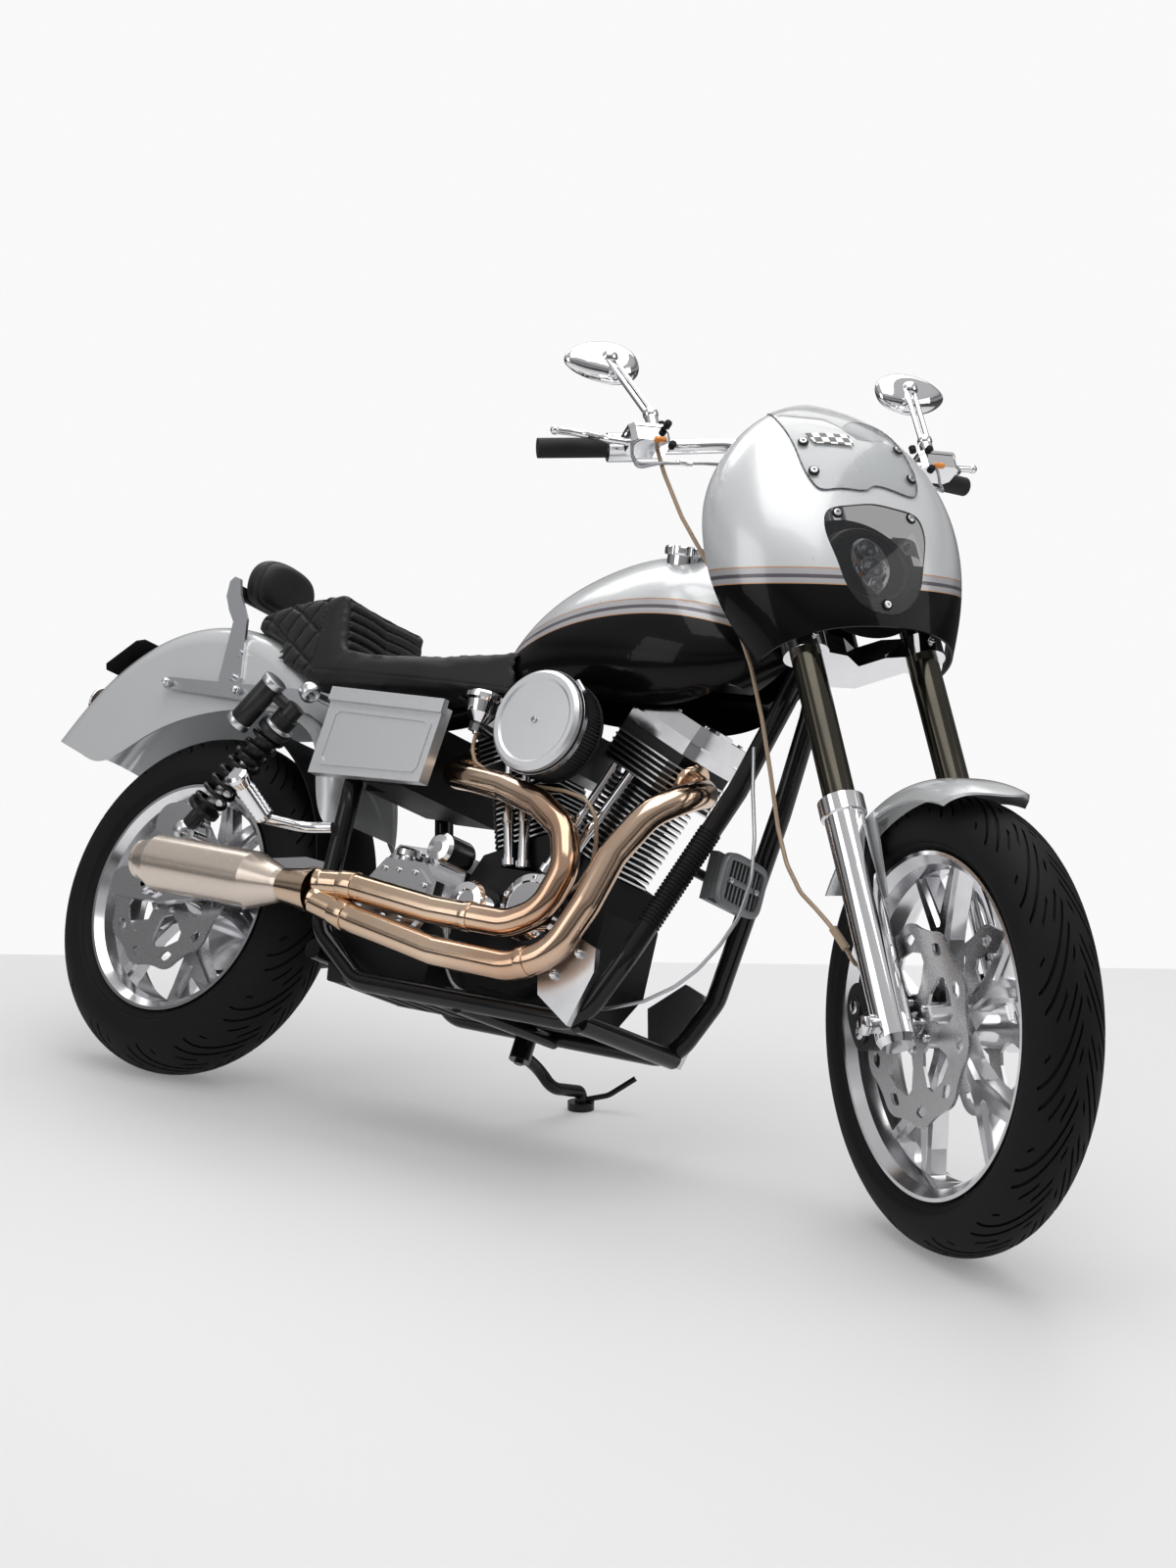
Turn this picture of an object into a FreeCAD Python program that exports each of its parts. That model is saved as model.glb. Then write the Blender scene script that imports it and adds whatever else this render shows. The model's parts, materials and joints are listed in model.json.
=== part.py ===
# Chopper motorcycle: a V-twin cruiser with a fork-mounted quarter fairing, parked on its side stand.
# The bike is drawn upright, X forward from the rear axle, Y to the left, Z up from the ground.
# What turns with the bars is drawn in the fork's own frame: X forward, Y left, Z up the steering axis,
# from the foot of the front axle on that axis. Each piece is then placed in the parked stance.
import FreeCAD, Part
import Sketcher
import math
import os
from FreeCAD import Placement, Rotation, Vector

os.makedirs("parts", exist_ok=True)
doc = FreeCAD.newDocument("Motorcycle")

# Driving dimensions, in millimetres and degrees
SIZES = {
    # stance and steering geometry
    "wheelbase": 1650, "rake": 29, "fork_offset": 67, "parked_lean": 23.3, "steering_stop": 34,
    "clearance": 0.3, "running_fit": 0.05,
    # wheels
    "rear_tyre_radius": 323, "rear_tyre_section": 75, "rear_flange_radius": 217, "rear_rim_half": 62,
    "front_tyre_radius": 338, "front_tyre_section": 58, "front_flange_radius": 256, "front_rim_half": 46,
    "rim_wall": 7, "bead_depth": 12, "spoke_count": 5, "spoke_depth": 26, "spoke_ridge": 5, "hub_radius": 34,
    "axle_radius": 12, "axle_bore_radius": 6, "rotor_thickness": 5,
    "front_rotor_radius": 150, "front_hub_half": 63, "rear_rotor_radius": 146, "rear_hub_half": 80,
    "pulley_radius": 106, "pulley_width": 26,
    # fork
    "leg_spacing": 210, "stanchion_radius": 25, "slider_radius": 31, "slider_top": 372, "slider_foot": -34,
    "lower_yoke_height": 632, "yoke_spacing": 180, "yoke_thickness": 34, "stem_radius": 17,
    "bar_height": 1085, "bar_radius": 12.7, "grip_radius": 17, "bar_half_width": 406, "grip_length": 108,
    # frame
    "head_radius": 31, "backbone_radius": 20, "rail_radius": 17, "rail_half": 137, "rail_height": 222,
    # engine
    "crank_x": 838, "crank_height": 345, "bank_angle": 22.5, "case_half": 78, "chest_depth": 34, "deck_length": 172,
    "barrel_length": 158, "head_length": 72, "rocker_length": 62, "fin_pitch": 10, "fin_thickness": 3.2,
    "barrel_fin_size": 140, "barrel_fin_width": 126, "head_fin_size": 166, "barrel_radius": 56,
    "pushrod_radius": 9, "filter_radius": 88, "filter_depth": 62, "filter_cover_depth": 14,
    # exhaust
    "pipe_radius": 24, "muffler_radius": 50,
    # swingarm, shocks and belt
    "pivot_x": 470, "pivot_height": 385, "arm_thickness": 22, "arm_half": 132, "spring_radius": 31,
    "shock_half": 172, "belt_thickness": 5,
    # tank, seat and rear end
    "tank_rear": 596, "tank_length": 592, "tank_bottom": 766, "tank_top": 1048, "tank_half": 146,
    "seat_half": 118, "strap_thickness": 6, "fender_half": 98, "fender_wall": 3, "strut_thickness": 10,
    "front_fender_half": 72, "front_fender_radius": 364,
    # fairing
    "fairing_half": 221, "fairing_wall": 4, "fairing_nose": 196,
    # hoses and cables
    "hose_radius": 3.5,
    # side stand
    "stand_bolt_radius": 8, "stand_leg_radius": 11, "stand_foot_radius": 24,
}
sheet = doc.addObject("Spreadsheet::Sheet", "Sizes")
for row, (alias, value) in enumerate(SIZES.items(), start=1):
    sheet.set(f"A{row}", alias)
    sheet.set(f"B{row}", str(value))
    sheet.setAlias(f"B{row}", alias)
doc.recompute()


class Dimensions:
    """The sheet's cells, by alias."""


d = Dimensions()
for alias in SIZES:
    setattr(d, alias, float(sheet.get(alias)))
X_AXIS, Y_AXIS, Z_AXIS = Vector(1, 0, 0), Vector(0, 1, 0), Vector(0, 0, 1)


# Construction helpers
def bind(thing, **cells):
    """Ties properties to cells of the sheet, or to sums of them."""
    for prop, cell in cells.items():
        thing.setExpression(prop, cell)
    return thing


def origin_plane(body, role):
    return next(item for item in body.Origin.OriginFeatures if item.Role == role)


def sketch_on(body, role, name, offset=0.0):
    sketch = body.newObject("Sketcher::SketchObject", name)
    sketch.AttachmentSupport = (origin_plane(body, role), [""])
    sketch.MapMode = "FlatFace"
    sketch.AttachmentOffset = Placement(Vector(0, 0, offset), Rotation())
    return sketch


def outline(sketch, points):
    """Closed outline of straight sides."""
    corners = [Vector(p[0], p[1], 0) for p in points]
    for here, there in zip(corners, corners[1:] + corners[:1]):
        sketch.addGeometry(Part.LineSegment(here, there), False)


def circle(sketch, radius, cell=None, centre=(0, 0)):
    """Circle whose radius follows a cell of the sheet."""
    index = sketch.addGeometry(Part.Circle(Vector(*centre, 0), Z_AXIS, radius), False)
    held = sketch.addConstraint(Sketcher.Constraint("Radius", index, radius))
    if cell:
        sketch.setExpression(f"Constraints[{held}]", cell)


def new_body(name):
    return doc.addObject("PartDesign::Body", name)


def feature(body, kind, name, profile, **props):
    made = body.newObject("PartDesign::" + kind, name)
    made.Profile = profile
    for prop, value in props.items():
        setattr(made, prop, value)
    return made


def turned(name, points):
    """Body turned about Y from a half section of (radius, along-axis) points."""
    body = new_body(name)
    sketch = sketch_on(body, "XY_Plane", name + "Section")
    outline(sketch, points)
    feature(body, "Revolution", name + "Turn", sketch, ReferenceAxis=(sketch, ["V_Axis"]), Angle=360)
    return body


def rounded_path(points, bend):
    """Straight runs joined by tangent arcs, each no larger than its runs allow."""
    points = [Vector(*p) for p in points]
    edges, start = [], points[0]
    for before, corner, after in zip(points, points[1:], points[2:]):
        back, ahead = before - corner, after - corner
        turn = math.pi - back.getAngle(ahead)
        reach = min(bend * math.tan(turn / 2), 0.46 * min(back.Length, ahead.Length))
        radius = reach / math.tan(turn / 2)
        back.normalize()
        ahead.normalize()
        first, last = corner + back * reach, corner + ahead * reach
        inward = back + ahead
        inward.normalize()
        middle = corner + inward * (math.hypot(reach, radius) - radius)
        edges.append(Part.LineSegment(start, first).toShape())
        edges.append(Part.Arc(first, middle, last).toShape())
        start = last
    edges.append(Part.LineSegment(start, points[-1]).toShape())
    return Part.Wire(edges)


def tube_shape(points, radius, bend=80.0):
    start, after = Vector(*points[0]), Vector(*points[1])
    ring = Part.Wire(Part.makeCircle(radius, start, after - start))
    return rounded_path(points, bend).makePipeShell([ring], True, False)


def shaped(name, shape):
    piece = doc.addObject("Part::Feature", name)
    piece.Shape = shape
    return piece


def tube(name, points, radius, bend=80.0):
    return shaped(name, tube_shape(points, radius, bend))


def rod(name, start, end, cell):
    """Round bar between two points, its radius bound to a cell."""
    start, end = Vector(*start), Vector(*end)
    piece = bind(doc.addObject("Part::Cylinder", name), Radius=cell)
    piece.Height = (end - start).Length
    piece.Placement = Placement(start, Rotation(Z_AXIS, end - start))
    return piece


def block(name, low, high, turn=None):
    piece = doc.addObject("Part::Box", name)
    piece.Length, piece.Width, piece.Height = (b - a for a, b in zip(low, high))
    piece.Placement = Placement(Vector(*low), Rotation())
    if turn:
        piece.Placement = turn.multiply(piece.Placement)
    return piece


def fused(name, pieces):
    joined = doc.addObject("Part::MultiFuse", name)
    joined.Shapes = pieces
    return joined


def cut(name, base, tool):
    result = doc.addObject("Part::Cut", name)
    result.Base, result.Tool = base, tool
    return result


def grouped(name, pieces):
    """Like pieces that don't touch, kept as one node."""
    group = doc.addObject("Part::Compound", name)
    group.Links = pieces
    return group


def plate(name, points, low, high, axis="y"):
    """Flat plate cut to an outline: (x, z) points between two y, or (x, y) points between two z."""
    if axis == "y":
        corners, along = [Vector(a, low, b) for a, b in points], Y_AXIS
    else:
        corners, along = [Vector(a, b, low) for a, b in points], Z_AXIS
    return shaped(name, Part.Face(Part.makePolygon(corners + corners[:1])).extrude(along * (high - low)))


def smooth_ring(points):
    curve = Part.BSplineCurve()
    curve.interpolate(Points=points, PeriodicFlag=True)
    return Part.Wire(curve.toShape())


NODES = {"chassis": [], "steering": [], "front_wheel": [], "rear_wheel": [], "side_stand": []}


def node(body, name, piece):
    piece.Label = name
    NODES[body].append(piece)
    return piece


# Stance: the lean, the turned fork and the slight pitch that puts both tyres on the ground
REAR_AXLE = Vector(0, 0, d.rear_tyre_radius)
FRONT_AXLE = Vector(d.wheelbase, 0, d.front_tyre_radius)
RAKE = math.radians(d.rake)
FORK_FOOT = FRONT_AXLE - Vector(math.cos(RAKE), 0, math.sin(RAKE)) * d.fork_offset
STEERING_AXIS = Vector(-math.sin(RAKE), 0, math.cos(RAKE))
FORK = Placement(FORK_FOOT, Rotation(Y_AXIS, -d.rake))
TURNED = Placement(Vector(), Rotation(STEERING_AXIS, -d.steering_stop), FORK_FOOT)


def lowest_point(centre_height, axle, outer, section):
    return centre_height - (outer - section) * math.sqrt(1 - axle.z ** 2) - section


def parked_stance():
    pitch = 0.0
    for _ in range(12):
        turn = Rotation(X_AXIS, -d.parked_lean).multiply(Rotation(Y_AXIS, pitch))
        axle = turn.multVec(Y_AXIS)
        rear = -lowest_point(0, axle, d.rear_tyre_radius, d.rear_tyre_section)
        steered = turn.multVec(TURNED.Rotation.multVec(Y_AXIS))
        height = rear + turn.multVec(TURNED.multVec(FRONT_AXLE) - REAR_AXLE).z
        gap = lowest_point(height, steered, d.front_tyre_radius, d.front_tyre_section)
        pitch += math.degrees(gap / d.wheelbase)
    return Placement(Vector(0, 0, rear) - turn.multVec(REAR_AXLE), turn)


STANCE = parked_stance()
GROUND_UP = STANCE.Rotation.inverted().multVec(Z_AXIS)


def on_fork(x, y, z):
    """Bike-frame place of a point of the unturned fork."""
    return FORK.multVec(Vector(x, y, z))


# Wheels: tyre, spoked rim with its bored hub, brake rotors and belt pulley
def tyre_body(name, outer, section, flange, half):
    body = new_body(name)
    sketch = sketch_on(body, "XY_Plane", name + "Section")
    seat, bead, centre = flange - d.bead_depth + d.clearance, half - 4, outer - section
    edge, bulge = flange + d.clearance, (bead + section) / 2 + 0.08 * section
    foot = (edge + centre) / 2 - 0.1 * section
    line = [Vector(edge, bead, 0), Vector(seat, bead, 0), Vector(seat, -bead, 0), Vector(edge, -bead, 0)]
    for here, there in zip(line, line[1:]):
        sketch.addGeometry(Part.LineSegment(here, there), False)
    arcs = [(Vector(edge, -bead, 0), Vector(foot, -bulge, 0), Vector(centre, -section, 0)),
            (Vector(centre, -section, 0), Vector(outer, 0, 0), Vector(centre, section, 0)),
            (Vector(centre, section, 0), Vector(foot, bulge, 0), Vector(edge, bead, 0))]
    for first, middle, last in arcs:
        sketch.addGeometry(Part.Arc(first, middle, last), False)
    feature(body, "Revolution", name + "Turn", sketch, ReferenceAxis=(sketch, ["V_Axis"]), Angle=360)
    return body


def rim_body(name, flange, half, hub_half):
    seat, edge, lip = flange - d.bead_depth, half - 4 + d.clearance, half + 3
    inner = seat - d.rim_wall
    body = turned(name, [
        (flange, lip), (flange, edge), (seat, edge), (seat, -edge), (flange, -edge), (flange, -lip),
        (flange - 6, -lip), (inner, -lip + 14), (inner - 8, -lip + 34), (inner - 8, lip - 34),
        (inner, lip - 14), (flange - 6, lip)])
    hub_sketch = sketch_on(body, "XZ_Plane", name + "HubSection")
    circle(hub_sketch, d.hub_radius, "Sizes.hub_radius")
    hub = feature(body, "Pad", name + "Hub", hub_sketch, Midplane=True, Length=2 * hub_half)
    reach, split = inner - 6, 0.52 * inner
    spoke_sketch = sketch_on(body, "XZ_Plane", name + "SpokeOutline")
    outline(spoke_sketch, [
        (d.hub_radius - 8, -22), (0.62 * split, -13), (split, -22), (0.8 * reach, -46), (reach, -68), (reach + 2, -40),
        (split + 42, 0), (reach + 2, 40), (reach, 68), (0.8 * reach, 46), (split, 22), (0.62 * split, 13),
        (d.hub_radius - 8, 22)])
    spoke = feature(body, "Pad", name + "Spoke", spoke_sketch, Midplane=True, Length=d.spoke_depth)
    bind(spoke, Length="Sizes.spoke_depth")
    ridge_sketch = sketch_on(body, "XZ_Plane", name + "RidgeOutline")
    outline(ridge_sketch, [
        (d.hub_radius - 4, -9), (split - 12, -7), (0.8 * reach, -40), (reach - 4, -58), (reach - 2, -48),
        (split + 22, -4), (split + 22, 4), (reach - 2, 48), (reach - 4, 58), (0.8 * reach, 40), (split - 12, 7),
        (d.hub_radius - 4, 9)])
    ridge = feature(body, "Pad", name + "Ridge", ridge_sketch, Midplane=True)
    bind(ridge, Length="Sizes.spoke_depth + 2 * Sizes.spoke_ridge")
    fan = body.newObject("PartDesign::PolarPattern", name + "Spokes")
    fan.Originals = [spoke, ridge]
    fan.Axis = (hub_sketch, ["N_Axis"])
    fan.Angle = 360
    bind(fan, Occurrences="Sizes.spoke_count")
    body.Tip = fan
    bore_sketch = sketch_on(body, "XZ_Plane", name + "BoreSection")
    circle(bore_sketch, d.axle_radius + d.running_fit, "Sizes.axle_radius + Sizes.running_fit")
    feature(body, "Pocket", name + "Bore", bore_sketch, Midplane=True, Length=2 * hub_half + 20)
    return body


def rotor_body(name, radius):
    """Brake disc: a waved edge, long windows between its arms and a ring of vents."""
    body = new_body(name)
    sketch = sketch_on(body, "XZ_Plane", name + "Outline")
    waves, deep = 10, 5.0
    turn = math.pi / waves

    def edge(step, distance):
        return Vector(distance * math.cos(step * turn), distance * math.sin(step * turn), 0)
    for wave in range(waves):
        start = 2 * wave
        joints = [edge(start - 0.5, radius - deep), edge(start, radius), edge(start + 0.5, radius - deep),
                  edge(start + 1, radius - 1.7 * deep), edge(start + 1.5, radius - deep)]
        sketch.addGeometry(Part.Arc(*joints[:3]), False)
        sketch.addGeometry(Part.Arc(*joints[2:]), False)
    circle(sketch, d.axle_radius + d.clearance + 8)
    disc = feature(body, "Pad", name + "Disc", sketch, Midplane=True)
    bind(disc, Length="Sizes.rotor_thickness")
    patterns = (("Window", 5, [(44, -12), (58, -24), (radius - 62, -36), (radius - 48, -30), (radius - 42, 0),
                               (radius - 48, 30), (radius - 62, 36), (58, 24), (44, 12)]),
                ("Vent", 10, [(radius - 30, -9), (radius - 24, -15), (radius - 18, -9), (radius - 15, 0),
                              (radius - 18, 9), (radius - 24, 15), (radius - 30, 9), (radius - 34, 0)]))
    for label, count, points in patterns:
        opening_sketch = sketch_on(body, "XZ_Plane", name + label + "Outline")
        outline(opening_sketch, points)
        opening = feature(body, "Pocket", name + label, opening_sketch, Midplane=True, Length=4 * d.rotor_thickness)
        ring = body.newObject("PartDesign::PolarPattern", name + label + "s")
        ring.Originals = [opening]
        ring.Axis = (sketch, ["N_Axis"])
        ring.Angle = 360
        ring.Occurrences = count
        body.Tip = ring
    return body


def at(piece, x, y, z):
    piece.Placement = Placement(Vector(x, y, z), Rotation())
    return piece


rotor_shift = d.rotor_thickness / 2
front_hub = (d.fork_offset, 0, 0)
front_tyre = at(tyre_body("FrontTyre", d.front_tyre_radius, d.front_tyre_section, d.front_flange_radius,
                          d.front_rim_half), *front_hub)
front_rim = at(rim_body("FrontRim", d.front_flange_radius, d.front_rim_half, d.front_hub_half), *front_hub)
front_rotors = [at(rotor_body(name, d.front_rotor_radius),
                   d.fork_offset, side * (d.front_hub_half + rotor_shift), 0)
                for name, side in (("FrontRotorRight", -1), ("FrontRotorLeft", 1))]
node("front_wheel", "front_tyre", front_tyre)
node("front_wheel", "front_rim", front_rim)
node("front_wheel", "front_rotors", grouped("FrontRotors", front_rotors))

rear_height = d.rear_tyre_radius
node("rear_wheel", "rear_tyre", at(tyre_body("RearTyre", d.rear_tyre_radius, d.rear_tyre_section,
                                             d.rear_flange_radius, d.rear_rim_half), 0, 0, rear_height))
node("rear_wheel", "rear_rim", at(rim_body("RearRim", d.rear_flange_radius, d.rear_rim_half,
                                           d.rear_hub_half), 0, 0, rear_height))
node("rear_wheel", "rear_rotor", at(rotor_body("RearRotor", d.rear_rotor_radius),
                                    0, -d.rear_hub_half - rotor_shift, rear_height))
pulley_mid = d.rear_hub_half + d.pulley_width / 2
pulley = turned("RearPulley", [
    (d.axle_radius + 8, -d.pulley_width / 2), (d.pulley_radius, -d.pulley_width / 2),
    (d.pulley_radius, d.pulley_width / 2), (d.pulley_radius - 8, d.pulley_width / 2),
    (d.pulley_radius - 12, d.pulley_width / 2 - 8), (46, d.pulley_width / 2 - 12),
    (40, d.pulley_width / 2), (d.axle_radius + 8, d.pulley_width / 2)])
node("rear_wheel", "rear_pulley", at(pulley, 0, pulley_mid, rear_height))

# Fork: axle, sliders, stanchions, yokes with the steering stem
leg = d.leg_spacing / 2
boss = d.axle_radius + 13
axle_half = leg + d.slider_radius + 12
front_axle = rod("FrontAxle", (d.fork_offset, -axle_half, 0), (d.fork_offset, axle_half, 0),
                 "Sizes.axle_radius")
node("steering", "front_axle", front_axle)


def slider(name, side):
    y = side * leg
    body = new_body(name)
    sketch = sketch_on(body, "XZ_Plane", name + "Section")
    radius, top, foot = d.slider_radius, d.slider_top, d.slider_foot
    inner = d.stanchion_radius + d.clearance
    outline(sketch, [(0, foot), (radius - 6, foot), (radius - 1, foot + 12), (radius - 1, top - 120),
                     (radius, top - 30), (radius + 5, top - 28), (radius + 5, top), (inner, top),
                     (inner, top - 200), (0, top - 200)])
    feature(body, "Revolution", name + "Turn", sketch, ReferenceAxis=(sketch, ["V_Axis"]), Angle=360)
    bore_sketch = sketch_on(body, "XZ_Plane", name + "BoreSection")
    circle(bore_sketch, d.axle_radius + d.running_fit, "Sizes.axle_radius + Sizes.running_fit")
    feature(body, "Pocket", name + "Bore", bore_sketch, Midplane=True, Length=4 * radius)
    return at(body, d.fork_offset, y, 0)


upper_yoke_height = d.lower_yoke_height + d.yoke_spacing
node("steering", "fork_sliders", grouped("ForkSliders", [slider("RightSlider", -1), slider("LeftSlider", 1)]))
yoke_top = upper_yoke_height + d.yoke_thickness
stanchion_foot, stanchion_top = d.slider_top - 190, yoke_top + 6
node("steering", "stanchions", grouped("Stanchions", [
    rod(name, (d.fork_offset, side * leg, stanchion_foot), (d.fork_offset, side * leg, stanchion_top),
        "Sizes.stanchion_radius") for name, side in (("RightStanchion", -1), ("LeftStanchion", 1))]))


def yoke(name, height):
    """Plate over both legs, clamped round them, and round the stem in its middle."""
    ring = d.stanchion_radius + 12
    body = plate(name + "Bridge", [(-22, -26), (-22, 26), (d.fork_offset - 8, leg + 14),
                                   (d.fork_offset + 20, leg), (d.fork_offset + 6, 34), (44, 0),
                                   (d.fork_offset + 6, -34), (d.fork_offset + 20, -leg),
                                   (d.fork_offset - 8, -leg - 14)], height, height + d.yoke_thickness, "z")
    rings = []
    for side in (-1, 1):
        clamp = doc.addObject("Part::Cylinder", f"{name}Clamp{'R' if side < 0 else 'L'}")
        clamp.Radius, clamp.Placement = ring, Placement(Vector(d.fork_offset, side * leg, height), Rotation())
        rings.append(bind(clamp, Height="Sizes.yoke_thickness"))
    return fused(name + "Blank", [body] + rings)


lower_yoke = yoke("LowerYoke", d.lower_yoke_height)
upper_yoke = yoke("UpperYoke", upper_yoke_height)
stem = rod("SteeringStem", (0, 0, d.lower_yoke_height), (0, 0, yoke_top + 8), "Sizes.stem_radius")
leg_bores = []
for name, side in (("RightLegBore", -1), ("LeftLegBore", 1)):
    bore = bind(doc.addObject("Part::Cylinder", name), Radius="Sizes.stanchion_radius + Sizes.clearance")
    bore.Height = 400
    bore.Placement = Placement(Vector(d.fork_offset, side * leg, d.lower_yoke_height - 50), Rotation())
    leg_bores.append(bore)
yokes = cut("ForkYokes", fused("YokesAndStem", [lower_yoke, upper_yoke, stem]), fused("LegBores", leg_bores))
node("steering", "fork_yokes", yokes)

# Front calipers behind the sliders, gripping the rotors
caliper_gap = 1.2
CALIPER_SIDE = [(-80, 30), (-52, 12), (-26, 16), (-20, 36), (-17, 62), (-20, 92), (-30, 112), (-54, 118), (-78, 100),
                (-86, 64)]
calipers = []
for name, side in (("RightCaliper", -1), ("LeftCaliper", 1)):
    mid = side * (d.front_hub_half + rotor_shift)
    centre = Vector(d.fork_offset - 118, mid, 62)
    ring = smooth_ring([Vector(x, centre.y - 20, z) for x, z in CALIPER_SIDE])
    pads = [shaped(name + "Body", Part.Face(ring).extrude(Y_AXIS * 40))]
    for z in (centre.z - 21, centre.z + 21):
        cap = doc.addObject("Part::Cylinder", f"{name}Cap{z:.0f}")
        cap.Radius, cap.Height = 17, 48
        cap.Placement = Placement(Vector(centre.x - 2, centre.y + 24, z), Rotation(X_AXIS, 90))
        pads.append(cap)
    near, far = sorted((side * (leg - 29), side * (leg - 13)))
    arm = block(name + "Arm", (centre.x + 20, near, 34), (d.fork_offset - 27.6, far, 96))
    lug_y = side * (leg - 7)
    boss_lug = doc.addObject("Part::Cylinder", name + "Lug")
    boss_lug.Radius, boss_lug.Height = 13, 52
    boss_lug.Placement = Placement(Vector(-20, lug_y, 40), Rotation(Y_AXIS, 90))
    body = fused(name + "Blank", pads + [arm, boss_lug])
    slot = doc.addObject("Part::Cylinder", name + "Slot")
    slot.Radius, slot.Height = d.front_rotor_radius + 3, d.rotor_thickness + 2 * caliper_gap
    slot.Placement = Placement(Vector(d.fork_offset, mid + slot.Height.Value / 2, 0), Rotation(X_AXIS, 90))
    calipers.append(cut(name, body, slot))
node("steering", "front_calipers", grouped("FrontCalipers", calipers))


def fender_shell(name, radius, half, wall, first, last, centre):
    """Crowned strip of sheet turned about the axle through an arc."""
    def section(outer, width):
        a = Vector(outer - 34, -width, 0)
        b = Vector(outer - 9, -width * 0.74, 0)
        c = Vector(outer, 0, 0)
        top = Part.BSplineCurve()
        top.interpolate([a, b, c, Vector(b.x, -b.y, 0), Vector(a.x, -a.y, 0)])
        return top
    outer_edge = section(radius, half).toShape()
    inner_edge = section(radius - wall, half - wall).toShape()
    ends = [Part.LineSegment(Vector(radius - 34, s * half, 0),
                             Vector(radius - wall - 34, s * (half - wall), 0)).toShape() for s in (-1, 1)]
    strip = Part.Face(Part.Wire([outer_edge, ends[1], inner_edge, ends[0]]))
    strip.rotate(Vector(), Y_AXIS, -first)
    turned_strip = strip.revolve(Vector(), Y_AXIS, first - last)
    reach, bow = radius * math.sin(math.radians(22)), 106
    tongue = Part.makeBox(3 * radius, 4 * half, radius, Vector(-3 * radius + reach - bow, -2 * half, 0.5 * radius))
    tip = Part.Ellipse(Vector(reach - bow, 0, 0.5 * radius), bow, half + 2).toShape()
    tongue = tongue.fuse(Part.Face(Part.Wire(tip)).extrude(Z_AXIS * radius))
    tongue.rotate(Vector(), Y_AXIS, 90 - first - 22)
    turned_strip = turned_strip.common(tongue)
    turned_strip.translate(centre)
    return shaped(name, turned_strip)


fender_skin = fender_shell("FenderSkin", d.front_fender_radius, d.front_fender_half, 3, 40, 150,
                           Vector(*front_hub))
strap_room = leg - d.slider_radius - d.clearance
tabs = [plate(name, [(52, 204), (82, 204), (96, 290), (100, 338), (34, 338), (38, 290)],
              *sorted((side * strap_room, side * (strap_room - 4))))
        for name, side in (("RightFenderStrap", -1), ("LeftFenderStrap", 1))]
node("steering", "front_fender", fused("FrontFender", [fender_skin] + tabs))


# Handlebar on its risers, grips, controls and mirrors
bar_x, grip_x, grip_z = -8, -112, d.bar_height + 45
grip_inner = d.bar_half_width - d.grip_length
riser_x = 14
knee_y = d.bar_half_width - d.grip_length - 118
bar_line = [(grip_x, -d.bar_half_width, grip_z), (grip_x + 52, -knee_y, grip_z - 12),
            (bar_x, -110, d.bar_height + 6), (bar_x, -60, d.bar_height), (bar_x, 60, d.bar_height),
            (bar_x, 110, d.bar_height + 6), (grip_x + 52, knee_y, grip_z - 12),
            (grip_x, d.bar_half_width, grip_z)]
bar = tube("Bar", bar_line, d.bar_radius, 60)
risers = []
for name, side in (("RightRiser", -1), ("LeftRiser", 1)):
    post = doc.addObject("Part::Cone", name)
    post.Radius1, post.Radius2, post.Height = 19, 16, d.bar_height - yoke_top - d.clearance
    post.Placement = Placement(Vector(riser_x, side * 44, yoke_top + d.clearance), Rotation())
    clamp = doc.addObject("Part::Cylinder", name + "Clamp")
    clamp.Radius, clamp.Height = d.bar_radius + 12, 34
    clamp.Placement = Placement(Vector(bar_x, side * 44 + 17, d.bar_height), Rotation(X_AXIS, 90))
    risers += [post, clamp]
node("steering", "handlebar", fused("Handlebar", [bar] + risers))


def grip_line(side, inner, outer):
    """Two points on the straight end of the bar, at distances from its middle."""
    end, knee = Vector(*bar_line[-1]), Vector(*bar_line[-2])
    along = (end - knee) * (1 / (end.y - knee.y))
    points = [end + along * (y - end.y) for y in (inner, outer)]
    return [Vector(p.x, side * p.y, p.z) for p in points]


def sleeve(name, side, inner, outer, cell, hole_cell):
    start, end = grip_line(side, inner, outer)
    body = rod(name + "Outside", start, end, cell)
    reach = (end - start).normalize()
    hole = rod(name + "Bore", start - reach * 2, end - reach * 5, hole_cell)
    return cut(name, body, hole)


bar_bore = "Sizes.bar_radius + Sizes.clearance"
grips = [sleeve(name, side, grip_inner, d.bar_half_width + 6, "Sizes.grip_radius", bar_bore)
         for name, side in (("RightGrip", -1), ("LeftGrip", 1))]
node("steering", "grips", grouped("Grips", grips))


CONTROL_CENTRE, CONTROL_RISE = (6, 272, 1074), 16


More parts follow.
